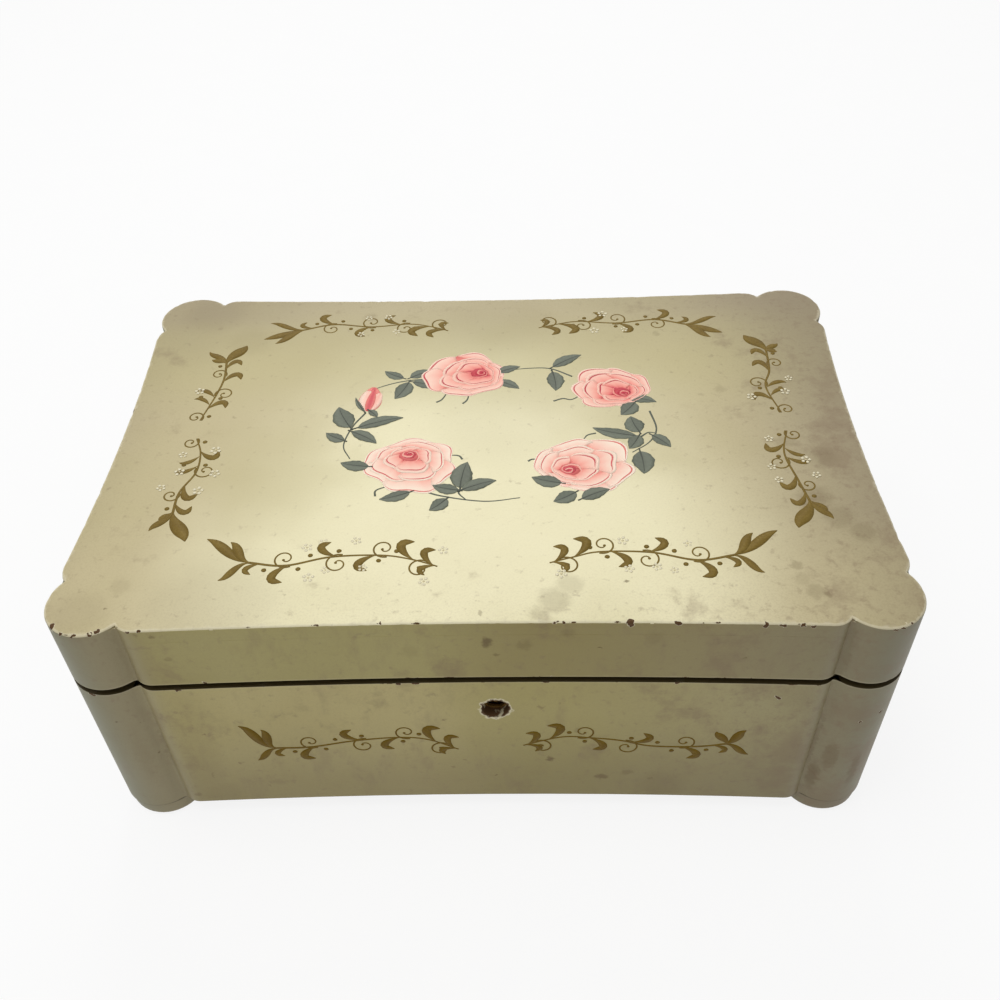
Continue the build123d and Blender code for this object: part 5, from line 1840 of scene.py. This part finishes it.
STEEL = Metal("turned_steel", srgb(176, 176, 174), srgb(104, 98, 90), 0.3)
PLATED_STEEL = Metal("plated_steel", srgb(204, 202, 196), srgb(132, 124, 110), 0.24)
CAST_BED = Metal("cast_bed", srgb(150, 152, 152), srgb(96, 96, 94), 0.46, brushing=(900.0, 900.0, 900.0))
LOCK_BRASS = Metal("lock_brass", srgb(150, 116, 62), srgb(84, 60, 30), 0.46)
BRASS = Metal("brass", srgb(206, 170, 96), srgb(134, 98, 46), 0.28)
MIRROR_SILVER = MirrorGlass("mirror_silver", srgb(226, 230, 228), srgb(70, 62, 54))
ACRYLIC = ClearSheet("clear_acrylic", srgb(238, 242, 240))
PLYWOOD = BareBoard("bare_plywood", srgb(206, 176, 128), srgb(150, 114, 70))
METAL_NODES = {
    STEEL: ("board_nails", "hinge_pins", "case_screws", "lid_screws", "movement_screws", "winding_arbor",
            "stop_pin", "mainspring", "comb", "wheel_bracket", "governor_bracket", "stop_tab",
            "third_wheel"),
    PLATED_STEEL: ("winding_key",),
    CAST_BED: ("bedplate",),
    LOCK_BRASS: ("lock_case", "lock_bolt", "link_plate", "hinge_case_leaf_left", "hinge_case_leaf_right",
                 "hinge_lid_leaf_left", "hinge_lid_leaf_right"),
    BRASS: ("spring_barrel", "crown_wheel", "barrel_bridge", "music_cylinder", "cylinder_wheel",
            "governor_fly"),
    ACRYLIC: ("movement_cover",),
    PLYWOOD: ("bottom_board",),
}


# Inside


def ranges_of(node: str) -> tuple[Pair, ...]:
    """Give how far a node reaches along X, Y and Z."""
    return tuple(zip(*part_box(node)))


def widened(reach: Pair, gap: float) -> Pair:
    """Widen a range by a gap at both ends."""
    return reach[0] - gap, reach[1] + gap


def add_pad(bm: Mesh, low: Vector, high: Vector, round_off: float, cell: float, unevenness: float) -> None:
    """Add one cloth-covered board: a block with soft edges and a slightly uneven face.

    Args:
        bm: The mesh to add it to.
        low: Its lowest corner.
        high: Its highest corner.
        round_off: How far its edges are rounded.
        cell: The size of its faces.
        unevenness: How far its faces dip inwards.
    """
    made = add_cube(bm, low, high)
    size, middle = high - low, (low + high) / 2
    edges = list({edge for vert in made for edge in vert.link_edges})
    rounded = round_edges(bm, edges, round_off, 3)
    faces = {face for face in rounded["faces"] if face.is_valid}
    faces |= {face for vert in rounded["verts"] for face in vert.link_faces}
    verts = {vert for face in faces for vert in face.verts}
    for axis in range(3):
        normal = Vector((0, 0, 0))
        normal[axis] = 1.0
        count = int(size[axis] / cell)
        for step in range(1, count):
            place = low.copy()
            place[axis] += size[axis] * step / count
            near = {face for vert in verts if vert.is_valid for face in vert.link_faces}
            geom = near | {item for face in near for item in (*face.edges, *face.verts)}
            cut = bmesh.ops.bisect_plane(bm, geom=list(geom), plane_co=place, plane_no=normal, dist=1e-7)
            verts = {v for v in verts if v.is_valid} | {v for v in cut["geom_cut"] if isinstance(v, Vert)}
    for vert in verts:
        dip = unevenness * (0.5 + noise.noise(vert.co * 90) * 0.5 + noise.noise(vert.co * 320) * 0.25)
        for axis in range(3):
            half = size[axis] / 2
            offset = vert.co[axis] - middle[axis]
            if abs(abs(offset) - half) < 1e-6:
                vert.co[axis] -= math.copysign(min(dip, half * 0.5), offset)


WINE_VELVET = Velvet("wine_velvet", srgb(74, 10, 20), srgb(122, 24, 38), srgb(168, 82, 88))
ROLL_VELVET = Velvet("ring_roll_velvet", srgb(80, 12, 22), srgb(130, 28, 42), srgb(172, 88, 92))
ROSE_SATIN = Satin("rose_satin", srgb(196, 132, 128), srgb(232, 182, 174))


@dataclass
class Inside:
    """The lined inside: velvet boards, ring rolls, padded satin under the lid and its mirror."""

    board_round: float = 0.7 * MM
    cell: float = 9.0 * MM
    unevenness: float = 0.12 * MM
    board: float = 1.8 * MM
    bed_gap: float = 0.4 * MM
    bed_depth: float = 52.0 * MM
    guide_wall: float = 1.6 * MM
    lock_gap: float = 0.4 * MM
    lock_room: float = 0.3 * MM
    tab_gap: float = 0.2 * MM
    roll_count: int = 6
    roll_gap: float = 0.5 * MM
    roll_slack: float = 0.7 * MM
    roll_cell: float = 1.7 * MM
    roll_swell: float = 0.6 * MM
    roll_frames: int = 20
    roll_push: float = 4.0
    roll_foot: float = 0.05 * MM
    roll_back: float = 0.42
    pleat: float = 7.5 * MM
    satin_lip: float = 4.0 * MM
    satin_room: float = 0.6 * MM
    satin_top: float = 0.4 * MM
    satin_sheet: float = 0.3 * MM
    mirror_bevel: float = 9.0 * MM
    mirror_edge: float = 0.5 * MM

    def build_pads(self, name: str, boards: Iterable[tuple[Pair, ...]], body: str, node: str) -> None:
        """Build several velvet boards as one piece.

        Args:
            name: The piece's name.
            boards: Each board's ranges along X, Y and Z.
            body: The body it moves with.
            node: The node it replaces.
        """
        bm = bmesh.new()
        for board in boards:
            add_pad(bm, *map(Vector, zip(*board)), self.board_round, self.cell, self.unevenness)
        piece = wrap_up(name, bm, WINE_VELVET, body, 50)
        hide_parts(node)

    def wall_boards(self, node: str, hole: Pair, rest: Pair, in_front: bool) -> list[tuple[Pair, ...]]:
        """List the boards that line four walls, with an opening in one of them.

        Args:
            node: The lining whose place they take.
            hole: The opening's range along X.
            rest: The heights of the board over or under the opening.
            in_front: Whether the opening is in the front wall, not in the back one.

        Returns:
            Each board's ranges.
        """
        (_, x), (_, y), z = ranges_of(node)
        near_x, near_y = x - self.board, y - self.board
        front, back = (-y, -near_y), (near_y, y)
        opened, whole = (front, back) if in_front else (back, front)
        return [
            ((-x, hole[0]), opened, z),
            ((hole[1], x), opened, z),
            (hole, opened, rest),
            ((-x, x), whole, z),
            ((-x, -near_x), (-near_y, near_y), z),
            ((near_x, x), (-near_y, near_y), z),
        ]

    def build_floor(self) -> None:
        """Lay the velvet floor round the movement's bed and its stop pin."""
        x, y, z = ranges_of("floor_lining")
        bed_x, bed_y, _ = ranges_of("bedplate")
        left, right = widened(bed_x, self.bed_gap)
        front, back = widened((bed_y[0], bed_y[0] + self.bed_depth), self.bed_gap)
        guide = widened(ranges_of("stop_pin")[0], self.guide_wall)
        boards = [
            (x, (y[0], front), z),
            ((x[0], left), (front, y[1]), z),
            ((right, x[1]), (front, y[1]), z),
            ((left, guide[0]), (back, y[1]), z),
            ((guide[1], right), (back, y[1]), z),
        ]
        self.build_pads("floor_velvet", boards, "case", "floor_lining")

    def build_walls(self) -> None:
        """Line the walls, leaving the lock's edge bare."""
        lock_x, _, lock_z = ranges_of("lock_case")
        rest = (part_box("wall_lining")[0].z, lock_z[0] - self.lock_room)
        boards = self.wall_boards("wall_lining", widened(lock_x, self.lock_gap), rest, True)
        self.build_pads("wall_velvet", boards, "case", "wall_lining")

    def build_dividers(self) -> None:
        """Cover the three dividers."""
        for node in ("long_divider", "movement_divider", "ring_divider"):
            self.build_pads(f"{node}_velvet", [ranges_of(node)], "case", node)

    def build_lid_sides(self) -> None:
        """Line the lid's sides, open where the music's stop tab comes through."""
        tab_x, _, tab_z = ranges_of("stop_tab")
        rest = (tab_z[1] + self.tab_gap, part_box("lid_side_lining")[1].z)
        boards = self.wall_boards("lid_side_lining", widened(tab_x, self.tab_gap), rest, False)
        self.build_pads("lid_side_velvet", boards, "lid", "lid_side_lining")

    def roll_mesh(self, low: Vector, high: Vector) -> Piece:
        """Make one roll to be swelled: a bar with a round back, cut into small even faces.

        Args:
            low: The lowest corner of its room.
            high: The highest corner.

        Returns:
            The roll.
        """
        bm = bmesh.new()
        add_cube(bm, low, high)
        middle = (low.z + high.z) / 2
        top = [edge for edge in bm.edges if all(vert.co.z > middle for vert in edge.verts)]
        round_edges(bm, top, (high.y - low.y) * self.roll_back, 5)
        roll = add_object("roll", mesh_of("roll", bm))
        add_modifier(roll, "REMESH", mode="VOXEL", voxel_size=self.roll_cell)
        settle(roll)
        return roll

    def build_rolls(self) -> None:
        """Stuff the ring rolls: six velvet bars swelled as cloth, held within the space they have."""
        low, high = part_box("ring_rolls")
        pitch = (high.y - low.y + self.roll_gap) / self.roll_count
        floor, slack = low.z + self.roll_foot, self.roll_slack
        bm = bmesh.new()
        for index in range(self.roll_count):
            start = low.y + index * pitch
            end = start + pitch - self.roll_gap
            roll = self.roll_mesh(Vector((low.x + slack, start + slack, floor)),
                                  Vector((high.x - slack, end - slack, high.z - slack)))
            bm.from_mesh(roll.data)
            bpy.data.objects.remove(roll)
        piece = wrap_up("ring_rolls_stuffed", bm, ROLL_VELVET, "case", 180)
        self.swell(piece)
        for vert in piece.data.vertices:
            vert.co.z = max(vert.co.z, floor)
        add_modifier(piece, "SUBSURF", levels=1, render_levels=1)
        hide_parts("ring_rolls")

    def swell(self, piece: Piece) -> None:
        """Swell a closed mesh as cloth under pressure and cap how far each point goes.

        Args:
            piece: The piece to swell.
        """
        before = [vert.co.copy() for vert in piece.data.vertices]
        cloth = piece.modifiers.new("Cloth", "CLOTH")
        cloth.settings.use_pressure = True
        cloth.settings.uniform_pressure_force = self.roll_push
        cloth.settings.effector_weights.gravity = 0.0
        scene = bpy.context.scene
        cloth.point_cache.frame_start, cloth.point_cache.frame_end = 1, self.roll_frames
        for number in range(1, self.roll_frames + 1):
            scene.frame_set(number)
        settle(piece)
        scene.frame_set(1)
        for vert, start in zip(piece.data.vertices, before):
            move = vert.co - start
            if move.length > self.roll_swell:
                vert.co = start + move.normalized() * self.roll_swell

    def build_ceiling(self) -> None:
        """Gather the padded satin round the mirror under the lid."""
        low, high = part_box("lid_ceiling_lining")
        glass_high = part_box("mirror")[1]
        outer = (high.x, high.y)
        inner = (glass_high.x - self.satin_lip, glass_high.y - self.satin_lip)
        depth = high.z - low.z - self.satin_room
        layer_top = high.z - self.satin_top

        def corner_walk(share: float, half: Pair) -> Vector:
            """Go round a rectangle of a half width and half depth, one side for each quarter."""
            quarter, along = divmod(share * 4 % 4, 1)
            corners = [flat(corner) for corner in ((-1, -1), (1, -1), (1, 1), (-1, 1), (-1, -1))]
            return corners[int(quarter)].lerp(corners[int(quarter) + 1], along) * flat(half)

        bm = bmesh.new()
        made = bmesh.ops.create_grid(bm, x_segments=360, y_segments=12, size=0.5)["verts"]
        for vert in made:
            share, across = vert.co.x + 0.5, vert.co.y + 0.5
            spot = corner_walk(share, outer).lerp(corner_walk(share, inner), across)
            wander = noise.noise(spot * 60) * 2.4
            fold = 0.5 + 0.5 * math.sin((spot.x + spot.y) / self.pleat * TAU * 0.6 + wander + across * 0.8)
            puff = hump(across, 0.55) * (0.74 + 0.26 * fold * (1 - across**4) ** 2)
            vert.co = Vector((spot.x, spot.y, layer_top - depth * puff))
        bmesh.ops.remove_doubles(bm, verts=bm.verts, dist=1e-6)
        bmesh.ops.recalc_face_normals(bm, faces=bm.faces)
        total = sum(face.normal.z for face in bm.faces)
        if total > 0:
            bmesh.ops.reverse_faces(bm, faces=bm.faces)
        piece = wrap_up("lid_satin_gathered", bm, ROSE_SATIN, "lid", 80)
        add_modifier(piece, "SOLIDIFY", thickness=self.satin_sheet, offset=-1.0, use_rim=True)
        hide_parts("lid_ceiling_lining")

    def build_mirror(self) -> None:
        """Cut the mirror with a wide bevel on its lower face."""
        low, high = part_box("mirror")
        bm = bmesh.new()
        add_cube(bm, low, high)
        bm.normal_update()
        face = min(bm.faces, key=lambda item: item.normal.z)
        for vert in face.verts:
            vert.co.z += self.mirror_edge
        bmesh.ops.inset_region(bm, faces=[face], thickness=self.mirror_bevel, depth=0.0)
        for vert in face.verts:
            vert.co.z = low.z
        glass = wrap_up("mirror_bevelled", bm, MIRROR_SILVER, "lid", 1)
        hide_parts("mirror")

    def build(self) -> None:
        """Line the box."""
        self.build_floor()
        self.build_walls()
        self.build_dividers()
        self.build_rolls()
        self.build_lid_sides()
        self.build_ceiling()
        self.build_mirror()


# Studio


@dataclass
class Studio:
    """A plain pale floor, soft white light and the photograph's viewpoint."""

    eye: Triple = (0.01312, -0.2878, 0.3480)
    yaw: float = -0.0307
    pitch: float = 0.7661
    roll: float = -0.0336
    lens: float = 38.34
    sensor: float = 36.0
    floor_size: float = 3.0
    floor_glow: float = 0.86
    sky_light: float = 0.42
    sky_look: float = 0.92

    def place_camera(self) -> None:
        """Place the camera as the photograph was taken."""
        level = Vector((math.cos(self.yaw), -math.sin(self.yaw), 0.0))
        ahead = left_of(level) * math.cos(self.pitch) - Vector((0.0, 0.0, math.sin(self.pitch)))
        upright = level.cross(ahead)
        right = level * math.cos(self.roll) + upright * math.sin(self.roll)
        up = upright * math.cos(self.roll) - level * math.sin(self.roll)
        data = bpy.data.cameras.new("camera")
        data.lens = self.lens
        data.sensor_width = self.sensor
        camera = add_object("camera", data)
        turn = Matrix((right, up, -ahead)).transposed()
        camera.matrix_world = Matrix.Translation(self.eye) @ turn.to_4x4()
        bpy.context.scene.camera = camera

    def seen_directly(self, tree: ShaderTree) -> Value:
        """Give 1 for what is seen itself, in a mirror or through glass, and 0 for the light it gives."""
        rays = tree.node("ShaderNodeLightPath").socket.node.outputs
        seen = Value(tree, rays["Is Camera Ray"]) + Value(tree, rays["Is Glossy Ray"])
        return seen + Value(tree, rays["Is Transmission Ray"])

    def paint_background(self) -> None:
        """Make the surroundings a soft light that looks as pale as the floor."""
        world = bpy.data.worlds.new("soft_white")
        world.use_nodes = True
        tree = ShaderTree.of_world(world)
        light = tree.node("ShaderNodeBackground", inputs={"Color": WHITE, "Strength": self.sky_light})
        look = tree.node("ShaderNodeBackground", inputs={"Color": WHITE, "Strength": self.sky_look})
        mixed = tree.node("ShaderNodeMixShader", inputs={0: self.seen_directly(tree), 1: light, 2: look})
        tree.links.new(mixed.socket, tree.nodes["World Output"].inputs["Surface"])
        bpy.context.scene.world = world

    def lay_floor(self) -> None:
        """Lay the floor, which looks white and still takes the object's shadow."""
        bm = bmesh.new()
        bmesh.ops.create_grid(bm, x_segments=1, y_segments=1, size=self.floor_size)
        mesh = mesh_of("floor", bm)
        floor = add_object("floor", mesh)
        tree = ShaderTree("floor_white")
        speck = tree.noise(tree.place(), 40, 3, 0.5)
        tree.finish(base_color=tree.mix(speck, srgb(243, 243, 242), srgb(250, 250, 249)), roughness=0.9)
        seen = self.seen_directly(tree)
        glow = tree.node("ShaderNodeEmission", inputs={"Color": WHITE, "Strength": 1.0})
        plain = Value(tree, tree.surface.outputs[0])
        mixed = tree.node("ShaderNodeMixShader", inputs={0: seen * self.floor_glow, 1: plain, 2: glow})
        tree.links.new(mixed.socket, tree.nodes["Material Output"].inputs["Surface"])
        mesh.materials.append(tree.material)
        floor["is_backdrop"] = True

    def hang_lamp(self, name: str, place: Triple, aim: Triple, size: float, power: float) -> None:
        """Hang one square soft lamp.

        Args:
            name: Its name.
            place: Where it hangs, in metres.
            aim: What it points at.
            size: Its side.
            power: Its power in watts.
        """
        data = bpy.data.lights.new(name, "AREA")
        data.shape = "SQUARE"
        data.size = size
        data.energy = power
        lamp = add_object(name, data)
        turn = (Vector(place) - Vector(aim)).to_track_quat("Z", "Y")
        lamp.matrix_world = Matrix.Translation(place) @ turn.to_matrix().to_4x4()

    def build(self) -> None:
        """Set up the studio."""
        bpy.context.scene.view_settings.view_transform = "Standard"
        self.paint_background()
        self.lay_floor()
        self.hang_lamp("soft_key", (-0.35, -0.15, 1.25), (0.0, -0.05, 0.05), 0.7, 5.6)
        self.hang_lamp("back_glow", (-0.06, 0.86, 1.05), (0.0, 0.0, 0.1), 0.55, 4.2)
        self.place_camera()


def main() -> None:
    """Build the box piece by piece and light it."""
    logging.basicConfig(level=logging.INFO, format="%(name)s: %(message)s")
    low, high = cad_low, cad_high
    shell = Shell(Outline(high.x, high.y))
    shell.build()
    Decoration(shell).build()
    Inside().build()
    for finish, nodes in METAL_NODES.items():
        for node in nodes:
            dress(node, finish)
    Studio().build()
    seen_low, seen_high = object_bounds()
    sizes = {"cad": [list(low), list(high)], "visual": [list(seen_low), list(seen_high)]}
    log.info("box %s, visual %s", sizes["cad"], sizes["visual"])


if __name__ == "__main__":
    main()
